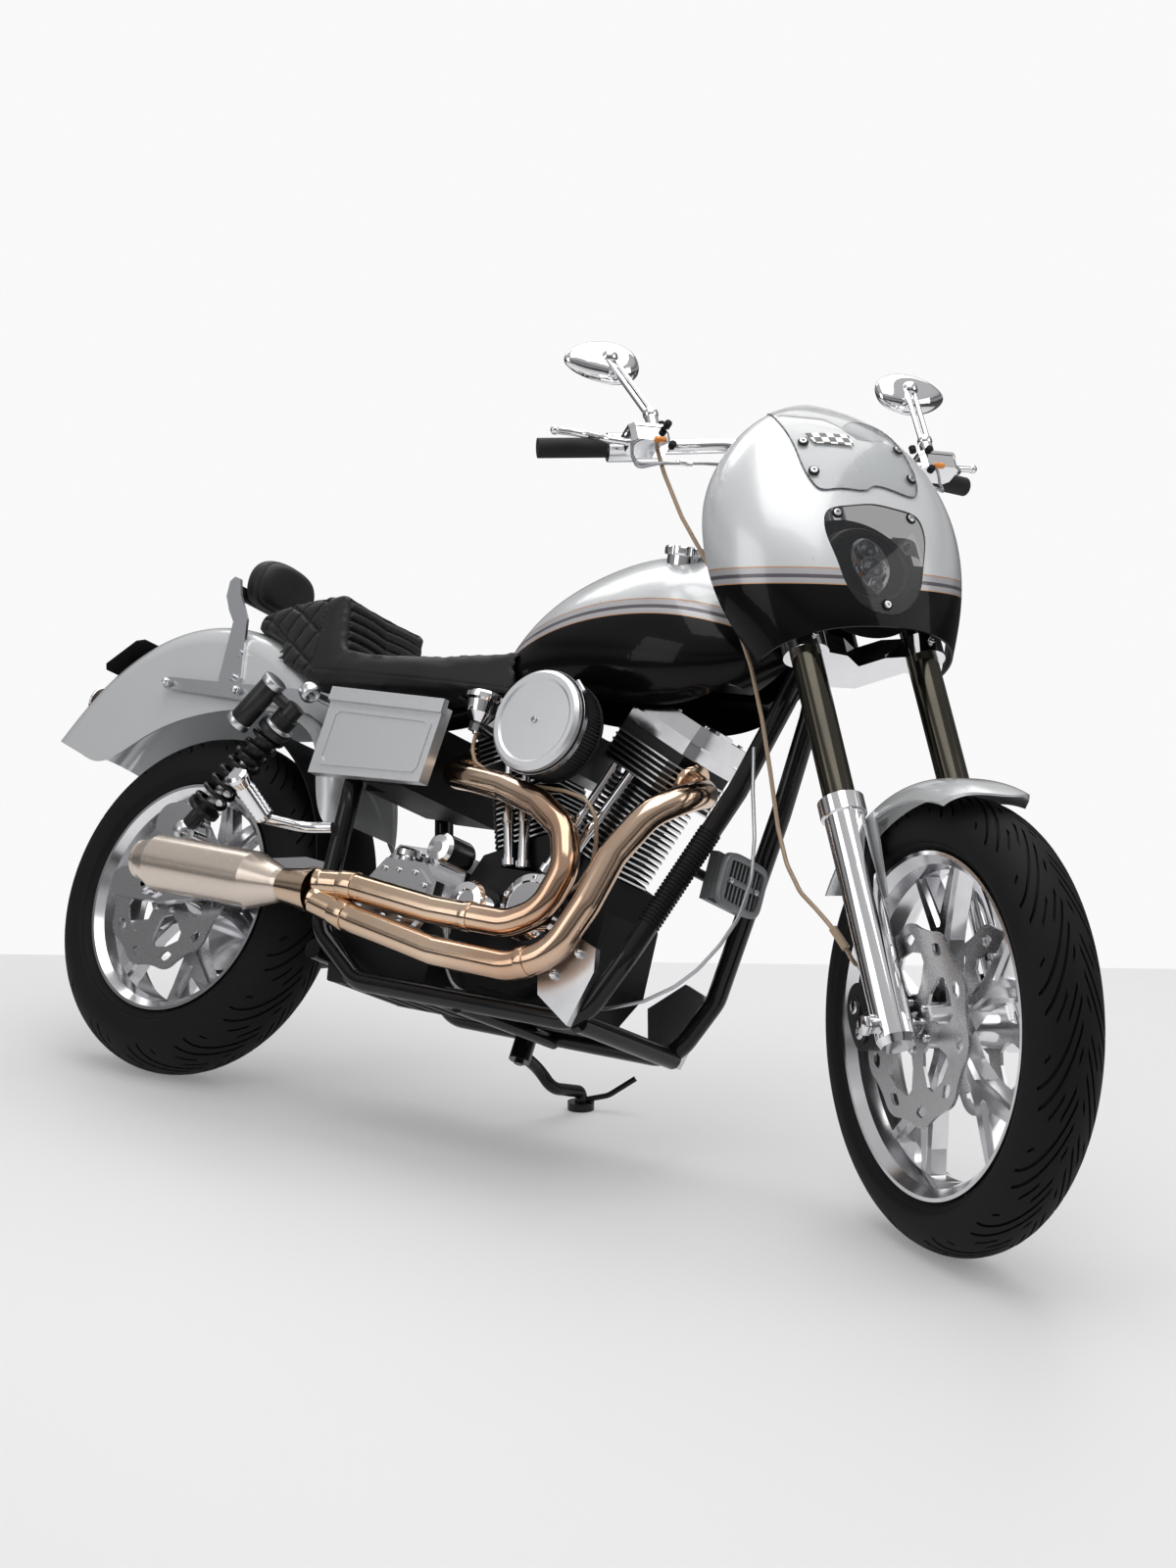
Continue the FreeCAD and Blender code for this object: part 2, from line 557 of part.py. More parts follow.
def control(name, side):
    """Switch housing round the bar, with the fluid cylinder or cable perch and its lever."""
    inner, outer = grip_inner - 44, grip_inner - 1
    start, end = grip_line(side, inner, outer)
    housing = rod(name + "Housing", start, end, "2 * Sizes.bar_radius - 1")
    perch_start, perch_end = grip_line(side, inner - 44, inner)
    perch = rod(name + "Perch", perch_start, perch_end, "Sizes.bar_radius + 7")
    hub = (perch_start + perch_end) * 0.5
    centre = Vector(*CONTROL_CENTRE[:1], side * CONTROL_CENTRE[1], CONTROL_CENTRE[2])
    arm = rod(name + "Arm", hub, centre, "Sizes.bar_radius - 1")
    reach, half, corner = 24, 35, 8
    ring = [(centre.x + a * (reach - (corner if flat else 0)), centre.y + b * (half - (0 if flat else corner)))
            for a, b, flat in ((-1, -1, 0), (-1, -1, 1), (1, -1, 1), (1, -1, 0), (1, 1, 0), (1, 1, 1), (-1, 1, 1),
                               (-1, 1, 0))]
    reservoir = plate(name + "Reservoir", ring, centre.z - 16, centre.z + 11, "z")
    lid = plate(name + "Lid", [(centre.x + 1.06 * (x - centre.x), centre.y + 1.05 * (y - centre.y)) for x, y in ring],
                centre.z + 10, centre.z + CONTROL_RISE, "z")
    pivot = Vector(centre.x - 8, centre.y + side * 24, centre.z - 2)
    tip = Vector(grip_x + 52, side * (d.bar_half_width - 6), grip_z)
    lever = tube(name + "Lever", [pivot, pivot + Vector(-6, side * 36, 8), tip - Vector(0, side * 50, 2), tip],
                 6.5, 60)
    knob = doc.addObject("Part::Sphere", name + "Knob")
    knob.Radius = 8
    knob.Placement = Placement(tip, Rotation())
    solid = fused(name + "Solid", [housing, perch, arm, reservoir, lid, lever, knob])
    bore_start, bore_end = grip_line(side, inner - 90, outer + 20)
    return cut(name, solid, rod(name + "Bore", bore_start, bore_end, bar_bore))


node("steering", "hand_controls", grouped("HandControls", [control("RightControl", -1), control("LeftControl", 1)]))


MIRROR_RIM = [(-58, 0), (-48, 26), (-14, 40), (30, 36), (64, 18), (74, 0), (62, -18), (24, -36), (-16, -39), (-48, -25)]


def mirror(name, side):
    """Drop-shaped mirror shell on a boss, carried by a stem of two slim rods."""
    foot = Vector(CONTROL_CENTRE[0] + 10, side * (CONTROL_CENTRE[1] - 12), CONTROL_CENTRE[2] + CONTROL_RISE + d.clearance)
    head, collar = foot + Vector(-44, side * 30, 178), foot + Vector(0, 0, 30)
    ball = doc.addObject("Part::Sphere", name + "Collar")
    ball.Radius, ball.Placement = 13, Placement(collar, Rotation())
    stem = [rod(name + "Post", foot, collar, "Sizes.stem_radius - 6"), ball]
    for step in (-1, 1):
        aside = Vector(0, side * 7 * step, 0)
        stem.append(rod(f"{name}Rod{'Out' if step > 0 else 'In'}", collar + aside, head + aside, "Sizes.rotor_thickness - 0.5"))
    joint = doc.addObject("Part::Sphere", name + "Joint")
    joint.Radius, joint.Placement = 15, Placement(head, Rotation())
    rings = [smooth_ring([head + Vector(x, side * share * y, share * z) for y, z in MIRROR_RIM])
             for x, share in ((-22, 1.0), (-14, 1.02), (-4, 0.9), (4, 0.55))]
    shell = Part.makeLoft(rings, True, False)
    return fused(name, stem + [joint, shaped(name + "Head", shell)])


node("steering", "mirrors", grouped("Mirrors", [mirror("RightMirror", -1), mirror("LeftMirror", 1)]))

# Quarter fairing: a shell lofted through D-shaped sections up the steering axis, from just above the lower yoke
fairing_foot = d.lower_yoke_height + 8
FAIRING_RISE = [  # rise above the foot, width share, nose share, x of the rear edge
    (0, 0.77, 0.77, 20), (80, 0.91, 0.91, 20), (140, 0.98, 0.97, 22), (220, 1.0, 1.0, 28), (300, 0.93, 0.96, 32),
    (370, 0.77, 0.84, 40), (420, 0.58, 0.68, 48), (458, 0.34, 0.52, 55), (470, 0.16, 0.44, 60)]


def fairing_loft(grow, back=0.0):
    """Closed form of the fairing's skin, grown outwards by grow and stretched back behind its edge."""
    rings = []
    (low, low_width, low_nose, edge), (second, width, nose, _) = FAIRING_RISE[:2]
    drop = 3 * abs(grow)
    share = drop / (second - low)
    foot = (low - drop, low_width - share * (width - low_width), low_nose - share * (nose - low_nose), edge)
    top = (FAIRING_RISE[-1][0] + grow,) + FAIRING_RISE[-1][1:]
    for rise, width, nose, edge in [foot] + FAIRING_RISE[1:-1] + [top]:
        half, tip = width * d.fairing_half + grow, nose * d.fairing_nose + grow
        points = []
        for step in range(9):
            angle = math.pi * (step / 8 - 0.5)
            points.append(Vector(edge + (tip - edge) * math.cos(angle) ** 0.9,
                                 half * math.copysign(abs(math.sin(angle)) ** 0.88, math.sin(angle)),
                                 fairing_foot + rise))
        curve = Part.BSplineCurve()
        curve.interpolate(points)
        corners = [points[-1], Vector(edge - back, points[-1].y, points[-1].z),
                   Vector(edge - back, points[0].y, points[0].z), points[0]]
        sides = [Part.LineSegment(a, b).toShape() for a, b in zip(corners, corners[1:]) if (a - b).Length > 0.01]
        rings.append(Part.Wire([curve.toShape()] + sides))
    return Part.makeLoft(rings, True, False)


def facing_prism(half_outline, start, end, shrink=1.0):
    """Prism along the fork frame's X from the left half of an outline: y, and rise above the fairing's foot."""
    whole = half_outline + [(-y, rise) for y, rise in reversed(half_outline) if y > 0]
    middle = sum(rise for _, rise in whole) / len(whole)
    ring = smooth_ring([Vector(start, y * shrink, fairing_foot + middle + (rise - middle) * shrink)
                        for y, rise in whole])
    return Part.Face(ring).extrude(Vector(end - start, 0, 0))


LAMP_WINDOW = [(0, 18), (34, 26), (62, 54), (78, 104), (89, 170), (84, 184), (46, 196), (0, 201)]
SCREEN = [(0, 230), (56, 227), (86, 228), (96, 246), (101, 310), (98, 372), (88, 430), (66, 472), (30, 490), (0, 494)]
SCREEN_OPENING = [(0, 338), (46, 341), (74, 352), (84, 376), (82, 430), (62, 474), (30, 492), (0, 496)]
shell = fairing_loft(0, 1).cut(fairing_loft(-d.fairing_wall, 20))
shell = shell.cut(facing_prism(LAMP_WINDOW, 80, 260)).cut(facing_prism(SCREEN_OPENING, 40, 260))
node("steering", "fairing", shaped("Fairing", shell))
glass_shell = fairing_loft(-0.2, 1).cut(fairing_loft(-3, 20))
node("steering", "lamp_window", shaped("LampWindow", glass_shell.common(facing_prism(LAMP_WINDOW, 80, 260, 0.997))))
screen_shell = fairing_loft(3.5, 1).cut(fairing_loft(0.3, 20))
node("steering", "windscreen", shaped("Windscreen", screen_shell.common(facing_prism(SCREEN, 40, 260))))

lamp_height, lamp_x = fairing_foot + 122, 116
lamp = turned("HeadlampShell", [(0, 20), (60, 20), (74, 16), (78, 8), (78, 0), (66, -14), (30, -22), (0, -24)])
lamp.Placement = Placement(Vector(lamp_x, 0, lamp_height), Rotation(Z_AXIS, -90))
carrier = shaped("LampCarrier", fairing_loft(-d.fairing_wall - d.clearance, 20).common(
    Part.makeBox(4, 2 * d.fairing_half, 44, Vector(lamp_x - 4, -d.fairing_half, lamp_height - 22))))
stays = [block(name, (d.fork_offset + d.stanchion_radius + d.clearance, side * leg - 9, lamp_height - 14),
               (lamp_x - 2, side * leg + 9, lamp_height + 14))
         for name, side in (("RightLampStay", -1), ("LeftLampStay", 1))]
node("steering", "headlamp", fused("Headlamp", [lamp, carrier] + stays))


# Brake hose: from the right cylinder down behind the yokes and round the slider to its caliper
cylinder_foot = Vector(CONTROL_CENTRE[0] - 6, 20 - CONTROL_CENTRE[1], CONTROL_CENTRE[2] - 16 - d.clearance)
BRAKE_ROUTE = [cylinder_foot, (-2, -248, 1016), (-14, -226, 940), (-20, -192, 850), (-24, -164, 760), (-34, -148, 670),
               (-46, -142, 580), (-60, -140, 490), (-74, -140, 400), (-72, -140, 335), (-50, -140, 275), (-18, -138, 230),
               (6, -134, 190), (12, -122, 156), (-8, -100, 134), (-36, -76, 146), (-44, -66, 132), (-44, -66, 119.2)]
hose = tube_shape(BRAKE_ROUTE, d.hose_radius, 70)
nut = rod("HoseNut", (7, -132, 186), (12, -120, 150), "Sizes.hose_radius + 3")
node("steering", "brake_hose", fused("BrakeHose", [shaped("BrakeHoseRun", hose), nut]))


# Frame: steering head, backbone, two loops of tube under the engine, cross tubes
head_low, head_high = d.lower_yoke_height + d.yoke_thickness + 0.3, upper_yoke_height - 0.3
head_tube = rod("HeadTube", on_fork(0, 0, head_low), on_fork(0, 0, head_high), "Sizes.head_radius")
head_bore = rod("HeadBore", on_fork(0, 0, head_low - 5), on_fork(0, 0, head_high + 5),
                "Sizes.stem_radius + Sizes.running_fit")
head_mid = on_fork(0, 0, (head_low + head_high) / 2 + 30)
strap = d.strap_thickness
strut_inner = d.fender_half + 2 * d.clearance + strap
strut_mid = strut_inner + d.strut_thickness / 2
BACKBONE = [(1130, 0, 955), (760, 0, 844), (622, 0, 802), (545, 0, 742), (440, 0, 720), (330, 0, 716)]
backbone = tube("Backbone", [head_mid] + BACKBONE, d.backbone_radius, 200)
rail_top, neck = on_fork(-34, 0, head_low + 44), on_fork(-97, 0, head_low - 47)
loops = []
for name, side in (("RightLoop", -1), ("LeftLoop", 1)):
    half = side * d.rail_half
    loops.append(tube(name, [
        (rail_top.x, side * 16, rail_top.z), (neck.x, side * 40, neck.z), (1178, side * 68, 640),
        (1096, half, 330), (1040, half, d.rail_height), (560, half, d.rail_height), (440, half, 300),
        (430, half, 520), (392, side * strut_mid, 696), (322, side * strut_mid, 696)], d.rail_radius, 70))
crossers = [rod(name, (x, -d.rail_half, z), (x, d.rail_half, z), cell) for name, x, z, cell in (
    ("FrontCross", 1040, d.rail_height, "Sizes.rail_radius"),
    ("EngineCross", 790, d.rail_height + 1.7 - 12, "12"), ("PivotCross", 440, 262, "Sizes.rail_radius"),
    ("SeatCross", 398, 664, "Sizes.rail_radius - 3"))]
cross_y = 99
regulator_cross = rod("RegulatorCross", (1141, -cross_y, 500), (1141, cross_y, 500), "0.5 * Sizes.rail_radius")

# The side stand's lug and bolt under the left rail
stand_pivot = Vector(728, d.rail_half, d.rail_height - d.rail_radius - 4)
stand_axis = Vector(-0.12, 0.22, 0.97).normalize()
stand_bolt = rod("StandBolt", stand_pivot - stand_axis * 40, stand_pivot + stand_axis * 6, "Sizes.stand_bolt_radius")
stand_lug = rod("StandLug", stand_pivot - stand_axis * 3.7, stand_pivot + stand_axis * 10, "Sizes.stand_leg_radius + 8")
frame_solid = fused("FrameTubes", [head_tube, backbone, regulator_cross, stand_bolt, stand_lug] + loops + crossers)
node("chassis", "frame", cut("Frame", frame_solid, head_bore))

# Engine: crankcase with the cam chest, finned cylinders, rocker covers, pushrod tubes
CRANK = Vector(d.crank_x, 0, d.crank_height)
deck = d.deck_length
lean = math.radians(d.bank_angle)


def bank_point(side, along, across):
    """(x, z) from the crank, along a cylinder's axis and across it."""
    return (side * (along * math.sin(lean) + across * math.cos(lean)),
            along * math.cos(lean) - across * math.sin(lean))


shoulder = d.barrel_fin_size / 2 - 2
case_reach = 156
case_foot = d.rail_height + 2 - d.crank_height
case_outline = [bank_point(1, deck, shoulder), (case_reach - 4, 70), (case_reach, -40), (104, case_foot), (-104, case_foot), (-case_reach, -40), (-case_reach, 70),
                bank_point(-1, deck, shoulder), bank_point(-1, deck, -shoulder), bank_point(1, deck, -shoulder)]
case = new_body("Crankcase")
case_sketch = sketch_on(case, "XZ_Plane", "CaseOutline")
outline(case_sketch, case_outline)
bind(feature(case, "Pad", "CaseBlock", case_sketch, Midplane=True), Length="2 * Sizes.case_half")
chest_sketch = sketch_on(case, "XZ_Plane", "ChestOutline", d.case_half)
outline(chest_sketch, [(-60, 110), (60, 110), (108, 60), (96, -60), (30, -96), (-60, -90), (-104, -20), (-96, 66)])
chest = feature(case, "Pad", "CamChest", chest_sketch)
bind(chest, Length="Sizes.chest_depth")
at(case, *CRANK)
node("chassis", "crankcase", case)


def cylinder(name, side):
    body = new_body(name)
    width = d.barrel_fin_width
    core_sketch = sketch_on(body, "XY_Plane", name + "CoreSection", deck + d.clearance)
    circle(core_sketch, d.barrel_radius, "Sizes.barrel_radius")
    bind(feature(body, "Pad", name + "Core", core_sketch), Length="Sizes.barrel_length + Sizes.head_length")

    def fins(label, size_x, size_y, start, count):
        sketch = sketch_on(body, "XY_Plane", label + "Outline", start)
        a, b, c = size_x / 2, size_y / 2, 22
        outline(sketch, [(-a, -b + c), (-a + c, -b), (a - c, -b), (a, -b + c), (a, b - c), (a - c, b),
                         (-a + c, b), (-a, b - c)])
        fin = bind(feature(body, "Pad", label, sketch), Length="Sizes.fin_thickness")
        stack = body.newObject("PartDesign::LinearPattern", label + "Stack")
        stack.Originals = [fin]
        stack.Direction = (sketch, ["N_Axis"])
        stack.Occurrences = count
        bind(stack, Length=f"Sizes.fin_pitch * {count - 1}")
        body.Tip = stack

    count = int(d.barrel_length // d.fin_pitch)
    fins(name + "BarrelFin", d.barrel_fin_size, width, deck + d.clearance + 2, count)
    head_from = deck + d.clearance + d.barrel_length
    fins(name + "HeadFin", d.head_fin_size, d.head_fin_size, head_from, int((d.head_length - 4) // d.fin_pitch))
    block_sketch = sketch_on(body, "XY_Plane", name + "HeadOutline", head_from)
    a, b = d.head_fin_size / 2 - 10, d.head_fin_size / 2 - 14
    outline(block_sketch, [(-a, -b), (a, -b), (a, b), (-a, b)])
    bind(feature(body, "Pad", name + "HeadBlock", block_sketch), Length="Sizes.head_length")
    body.Placement = Placement(CRANK, Rotation(Y_AXIS, side * d.bank_angle))
    return body


node("chassis", "front_cylinder", cylinder("FrontCylinder", 1))
node("chassis", "rear_cylinder", cylinder("RearCylinder", -1))
cover_foot = deck + d.barrel_length + d.head_length + 2 * d.clearance


def rocker_cover(name, side):
    """Cover in three steps: a straight foot, a narrow joint line and a domed lid with a bar along it."""
    body = new_body(name)
    height, foot, joint = d.rocker_length, 0.36 * d.rocker_length, 4
    steps = [("Foot", 0, foot, 86, 72, 0), ("Joint", foot, joint, 80, 66, 0),
             ("Lid", foot + joint, height - foot - joint - 6, 88, 74, -8), ("Bar", height - 6, 6, 74, 26, -10)]
    for label, start, tall, a, b, taper in steps:
        c = 0.22 * b
        sketch = sketch_on(body, "XY_Plane", name + label + "Outline", cover_foot + start)
        outline(sketch, [(-a, -b + c), (-a + c, -b), (a - c, -b), (a, -b + c), (a, b - c), (a - c, b),
                         (-a + c, b), (-a, b - c)])
        feature(body, "Pad", name + label, sketch, Length=tall, TaperAngle=taper)
    body.Placement = Placement(CRANK, Rotation(Y_AXIS, side * d.bank_angle))
    return body


node("chassis", "rocker_covers", grouped("RockerCovers", [rocker_cover("FrontRockerCover", 1),
                                                           rocker_cover("RearRockerCover", -1)]))
pushrods = []
tube_y = -d.barrel_fin_width / 2 - d.pushrod_radius - 5
chest_top = d.crank_height + 110.3
for name, side, foot_x, across in (("FrontInlet", 1, 22, -34), ("FrontExhaust", 1, 52, 6),
                                   ("RearInlet", -1, 22, -34), ("RearExhaust", -1, 52, 6)):
    x, z = bank_point(side, deck + d.barrel_length - 1, across)
    foot = Vector(d.crank_x + side * foot_x, -d.case_half - 18, chest_top)
    top = Vector(d.crank_x + x, tube_y, d.crank_height + z)
    along = (top - foot).normalize()
    middle = foot + along * 0.46 * (top - foot).Length
    pushrods.append(fused(name + "Tube", [
        rod(name + "Upper", middle, top, "Sizes.pushrod_radius - 1.5"),
        rod(name + "Lower", foot + along * 4.4, middle, "Sizes.pushrod_radius"),
        rod(name + "Collar", middle - along * 9, middle + along * 9, "Sizes.pushrod_radius + 2.5"),
        rod(name + "FootCup", foot + along * 5.2, foot + along * 18, "Sizes.pushrod_radius + 3.5")]))
node("chassis", "pushrod_tubes", grouped("PushrodTubes", pushrods))

chest_face = -d.case_half - d.chest_depth
cam_cover = turned("CamCover", [(0, 0), (58, 0), (60, -5), (57, -16), (44, -22), (42, -19), (0, -19)])
node("chassis", "cam_cover", at(cam_cover, d.crank_x + 34, chest_face - d.clearance, d.crank_height + 48))
filter_can = turned("OilFilterCan", [(0, 0), (30, 0), (34, -3), (37, -8), (37, -48), (32, -56), (20, -58), (18, -54),
                                     (0, -54)])
node("chassis", "oil_filter", at(filter_can, d.crank_x - 66, chest_face - d.clearance, d.crank_height + 36))


def stadium(name, first, first_radius, second, second_radius, low, high):
    """Long oval cover round two centres, (x, z) each."""
    a, b = Vector(first[0], low, first[1]), Vector(second[0], low, second[1])
    ahead = (a - b).normalize()
    up = Vector(-ahead.z, 0, ahead.x)
    lead = math.asin((second_radius - first_radius) / (first[0] - second[0]))
    tilt = Rotation(Y_AXIS, math.degrees(lead))
    over, under = tilt.multVec(up), tilt.inverted().multVec(up) * -1
    points = [b + over * second_radius, a + over * first_radius, a + ahead * first_radius,
              a + under * first_radius, b + under * second_radius, b - ahead * second_radius]
    edges = [Part.LineSegment(points[0], points[1]).toShape(),
             Part.Arc(points[1], points[2], points[3]).toShape(),
             Part.LineSegment(points[3], points[4]).toShape(),
             Part.Arc(points[4], points[5], points[0]).toShape()]
    return shaped(name, Part.Face(Part.Wire(edges)).extrude(Y_AXIS * (high - low)))


case_side, primary_outer = d.case_half + d.clearance, 148
primary = stadium("PrimaryOval", (d.crank_x, d.crank_height), 92, (602, 372), 108, case_side, primary_outer)
lids = []
for name, x, z, radius in (("ClutchLid", 602, 372, 64), ("AlternatorLid", d.crank_x, d.crank_height, 46)):
    lid = turned(name, [(0, -6), (radius, -6), (radius, 3), (radius - 6, 7), (radius - 20, 8), (0, 9)])
    lids.append(at(lid, x, primary_outer, z))
belt_room = block("BeltRoom", (460, 70, 240), (690, d.rear_hub_half + d.pulley_width + 4, 500))
node("chassis", "primary_cover", cut("PrimaryCover", fused("PrimaryBlank", [primary] + lids), belt_room))
gearbox = new_body("Gearbox")
gear_sketch = sketch_on(gearbox, "XZ_Plane", "GearboxOutline")
gear_x, gear_back = 588, 100
gear_nose = d.crank_x - case_reach - d.clearance - gear_x
outline(gear_sketch, [(-gear_back, -86), (84, -86), (gear_nose, -60), (gear_nose, 60), (70, 92), (-70, 92),
                      (-gear_back, 50)])
gear_pad = feature(gearbox, "Pad", "GearboxBlock", gear_sketch, Midplane=True)
bind(gear_pad, Length="2 * Sizes.case_half")
end_sketch = sketch_on(gearbox, "XZ_Plane", "EndCoverOutline", d.case_half)
outline(end_sketch, [(-70, -62), (62, -62), (74, -40), (74, 30), (40, 58), (-50, 58), (-78, 20), (-78, -40)])
feature(gearbox, "Pad", "EndCover", end_sketch, Length=46)
at(gearbox, gear_x, 0, 384)
starter = turned("Starter", [(0, 0), (26, 0), (28, -4), (28, -64), (22, -70), (10, -72), (0, -72)])
at(starter, gear_x + 76, -d.case_half + 4, 384 + 84)
filler = turned("OilFiller", [(0, -6), (15, -6), (15, 10), (21, 12), (21, 22), (17, 26), (0, 27)])
filler.Placement = Placement(Vector(gear_x - 24, -d.case_half - 22, 384 + 56), Rotation(X_AXIS, 90))
hatch = plate("GearHatch", [(gear_x - 62, 384 - 52), (gear_x + 50, 384 - 52), (gear_x + 62, 384 - 36),
                            (gear_x + 62, 384 + 24), (gear_x + 34, 384 + 46), (gear_x - 44, 384 + 46),
                            (gear_x - 68, 384 + 16), (gear_x - 68, 384 - 36)], -d.case_half - 52, -d.case_half - 40)
node("chassis", "gearbox", fused("GearboxUnit", [gearbox, starter, filler, hatch]))

# Intake: carburettor block in the V, filter element, its round cover
filter_x, filter_z = d.crank_x + 6, 690
filter_y = -128
manifold_z = filter_z + 10
manifold_x = (manifold_z - 16 - d.crank_height) * math.tan(lean) - d.head_fin_size / 2 / math.cos(lean) - d.clearance
intake = fused("IntakeBody", [block("CarbBody", (filter_x - 28, -96, filter_z - 56), (filter_x + 28, 20, filter_z + 20)),
                              rod("Manifold", (d.crank_x - manifold_x, 0, manifold_z),
                                  (d.crank_x + manifold_x, 0, manifold_z), "16"),
                              rod("Spigot", (filter_x, -96, filter_z - 10), (filter_x, filter_y, filter_z - 10),
                                  "0.35 * Sizes.filter_radius")])
node("chassis", "intake", intake)
element = turned("FilterElement", [(0, 0), (d.filter_radius, 0), (d.filter_radius, -d.filter_depth),
                                   (0, -d.filter_depth)])
node("chassis", "air_filter", at(element, filter_x, filter_y - d.clearance, filter_z))
cover_y = filter_y - d.filter_depth - 2 * d.clearance
edge = d.filter_radius - 1
disc = turned("FilterCover", [(0, 0), (edge, 0), (edge, -8), (edge - 6, -d.filter_cover_depth),
                              (edge - 14, -d.filter_cover_depth), (edge - 18, -d.filter_cover_depth + 2.5),
                              (0, -d.filter_cover_depth + 2.5)])
node("chassis", "air_filter_cover", at(disc, filter_x, cover_y, filter_z))

# Exhaust: two head pipes sweeping forward and down into a collector and one muffler
def port(side, out):
    """Point on a head's outer exhaust face, or out from it."""
    x, z = bank_point(side, deck + d.barrel_length + 38, d.head_fin_size / 2 + d.clearance + out)
    return (d.crank_x + x, -34, d.crank_height + z)


front_pipe = tube("FrontPipe", [port(1, 0), port(1, 44), (1120, -104, 616), (1086, -156, 568), (1052, -178, 488),
                                (1036, -192, 400), (1004, -202, 310), (930, -207, 280), (771, -210, 284),
                                (591, -214, 312), (490, -224, 334)], d.pipe_radius, 90)
rear_pipe = tube("RearPipe", [port(-1, 0), port(-1, 34), (606, -96, 606), (680, -120, 598), (768, -138, 586),
                              (868, -160, 560),
                              (940, -172, 520), (968, -178, 456), (948, -184, 380), (890, -190, 350),
                              (737, -200, 352), (561, -212, 368), (490, -224, 362)], d.pipe_radius, 70)
clamps = []
for name, point, toward in (("FrontClamp", Vector(*port(1, 30)), Vector(*port(1, 44)) - Vector(*port(1, 0))),
                            ("RearClamp", Vector(*port(-1, 22)), Vector(*port(-1, 34)) - Vector(*port(-1, 0))),
                            ("FrontJoint", Vector(960, -205.3, 292.9), Vector(74, 5, 30)),
                            ("RearJoint", Vector(814, -195.2, 351), Vector(1, 0, 0))):
    toward.normalize()
    clamps.append(rod(name, point - toward * 7, point + toward * 7, "Sizes.pipe_radius + 3"))
merge = doc.addObject("Part::Cone", "Collector")
merge.Radius1, merge.Radius2, merge.Height = 38, d.pipe_radius + 6, 70
merge_start, rearward = Vector(494, -224, 348), Vector(-1, -0.045, 0.01).normalize()
merge.Placement = Placement(merge_start, Rotation(Z_AXIS, rearward))
node("chassis", "exhaust_pipes", fused("ExhaustPipes", [front_pipe, rear_pipe, merge] + clamps))
muffler = turned("Muffler", [
    (0, 0), (d.pipe_radius + 4, 0), (d.pipe_radius + 6, 10), (d.muffler_radius, 70), (d.muffler_radius, 300),
    (d.muffler_radius - 14, 336), (d.muffler_radius - 14, 344), (d.muffler_radius - 20, 344),
    (d.muffler_radius - 20, 200), (0, 200)])
muffler.Placement = Placement(merge_start + rearward * (merge.Height.Value + d.clearance), Rotation(Y_AXIS, rearward))
node("chassis", "muffler", muffler)

# Fuel tank: lofted teardrop with a tunnel for the backbone
TANK_STATIONS = [  # share of the length, then shares of the half width, of the crest and of the bottom's rise
    (0.0, 0.16, 0.14, 0.10), (0.06, 0.42, 0.36, 0.03), (0.16, 0.66, 0.66, 0.0), (0.30, 0.86, 0.86, 0.0),
    (0.46, 0.97, 0.98, 0.0), (0.60, 1.0, 1.0, 0.0), (0.74, 0.96, 0.93, 0.03), (0.86, 0.80, 0.78, 0.12),
    (0.95, 0.58, 0.62, 0.26), (1.0, 0.30, 0.52, 0.38)]


def tank_form(grow=0.0):
    """The tank's outer form, grown outwards by grow."""
    rings = []
    height = d.tank_top - d.tank_bottom
    for along, wide, crest, rise in TANK_STATIONS:
        x, half = d.tank_rear + along * d.tank_length, wide * d.tank_half + grow
        low, top = d.tank_bottom + rise * height - grow, d.tank_bottom + crest * height + grow
        mid = low + 0.42 * (top - low)
        side = [(0.0, top), (0.46, top - 0.10 * (top - low)), (0.86, top - 0.34 * (top - low)), (1.0, mid),
                (0.92, low + 0.14 * (top - low)), (0.62, low)]
        points = [Vector(x, half * y, z) for y, z in side] + [Vector(x, 0, low)]
        points += [Vector(x, -half * y, z) for y, z in reversed(side[1:])]
        rings.append(smooth_ring(points))
    return Part.makeLoft(rings, True, False)


tunnel_radius = d.backbone_radius + d.clearance
tunnel = tube_shape([head_mid] + BACKBONE, tunnel_radius, 200)
tank = shaped("TankForm", tank_form())
rocker_top = cover_foot + d.rocker_length
saddle_half, saddle_top = 84, d.crank_height + bank_point(1, rocker_top, -88)[1] + 6
saddle = block("RockerRoom", (560, -saddle_half, 700), (1130, saddle_half, saddle_top))
under = [(x, z) for x, _, z in BACKBONE[:4]]
low_slot = plate("TunnelFloor", under + [(545, 640), (1300, 640), (1300, 1006)], -tunnel_radius - 4,
                 tunnel_radius + 4)
tunnel_run = shaped("TunnelRun", tunnel)
node("chassis", "fuel_tank", cut("FuelTank", tank, fused("Tunnel", [tunnel_run, low_slot, saddle])))
cap = turned("FuelCapBlank", [(0, -30), (31, -30), (31, 4), (36, 5), (37, 8), (37, 17), (34, 20), (28, 20), (25, 17),
                              (0, 18)])
notch_sketch = sketch_on(cap, "XZ_Plane", "CapNotchSection")
circle(notch_sketch, 8, centre=(42, 0))
notch = feature(cap, "Pocket", "CapNotch", notch_sketch, Midplane=True, Length=80)
notches = cap.newObject("PartDesign::PolarPattern", "CapNotches")
notches.Originals, notches.Axis, notches.Angle, notches.Occurrences = [notch], (notch_sketch, ["N_Axis"]), 360, 8
cap.Tip = notches
cap.Placement = Placement(Vector(942, -46, 1036), Rotation(Y_AXIS, Vector(0.05, -0.26, 0.96)))
node("chassis", "fuel_cap", cut("FuelCap", cap, shaped("CapSeat", tank_form(d.clearance))))

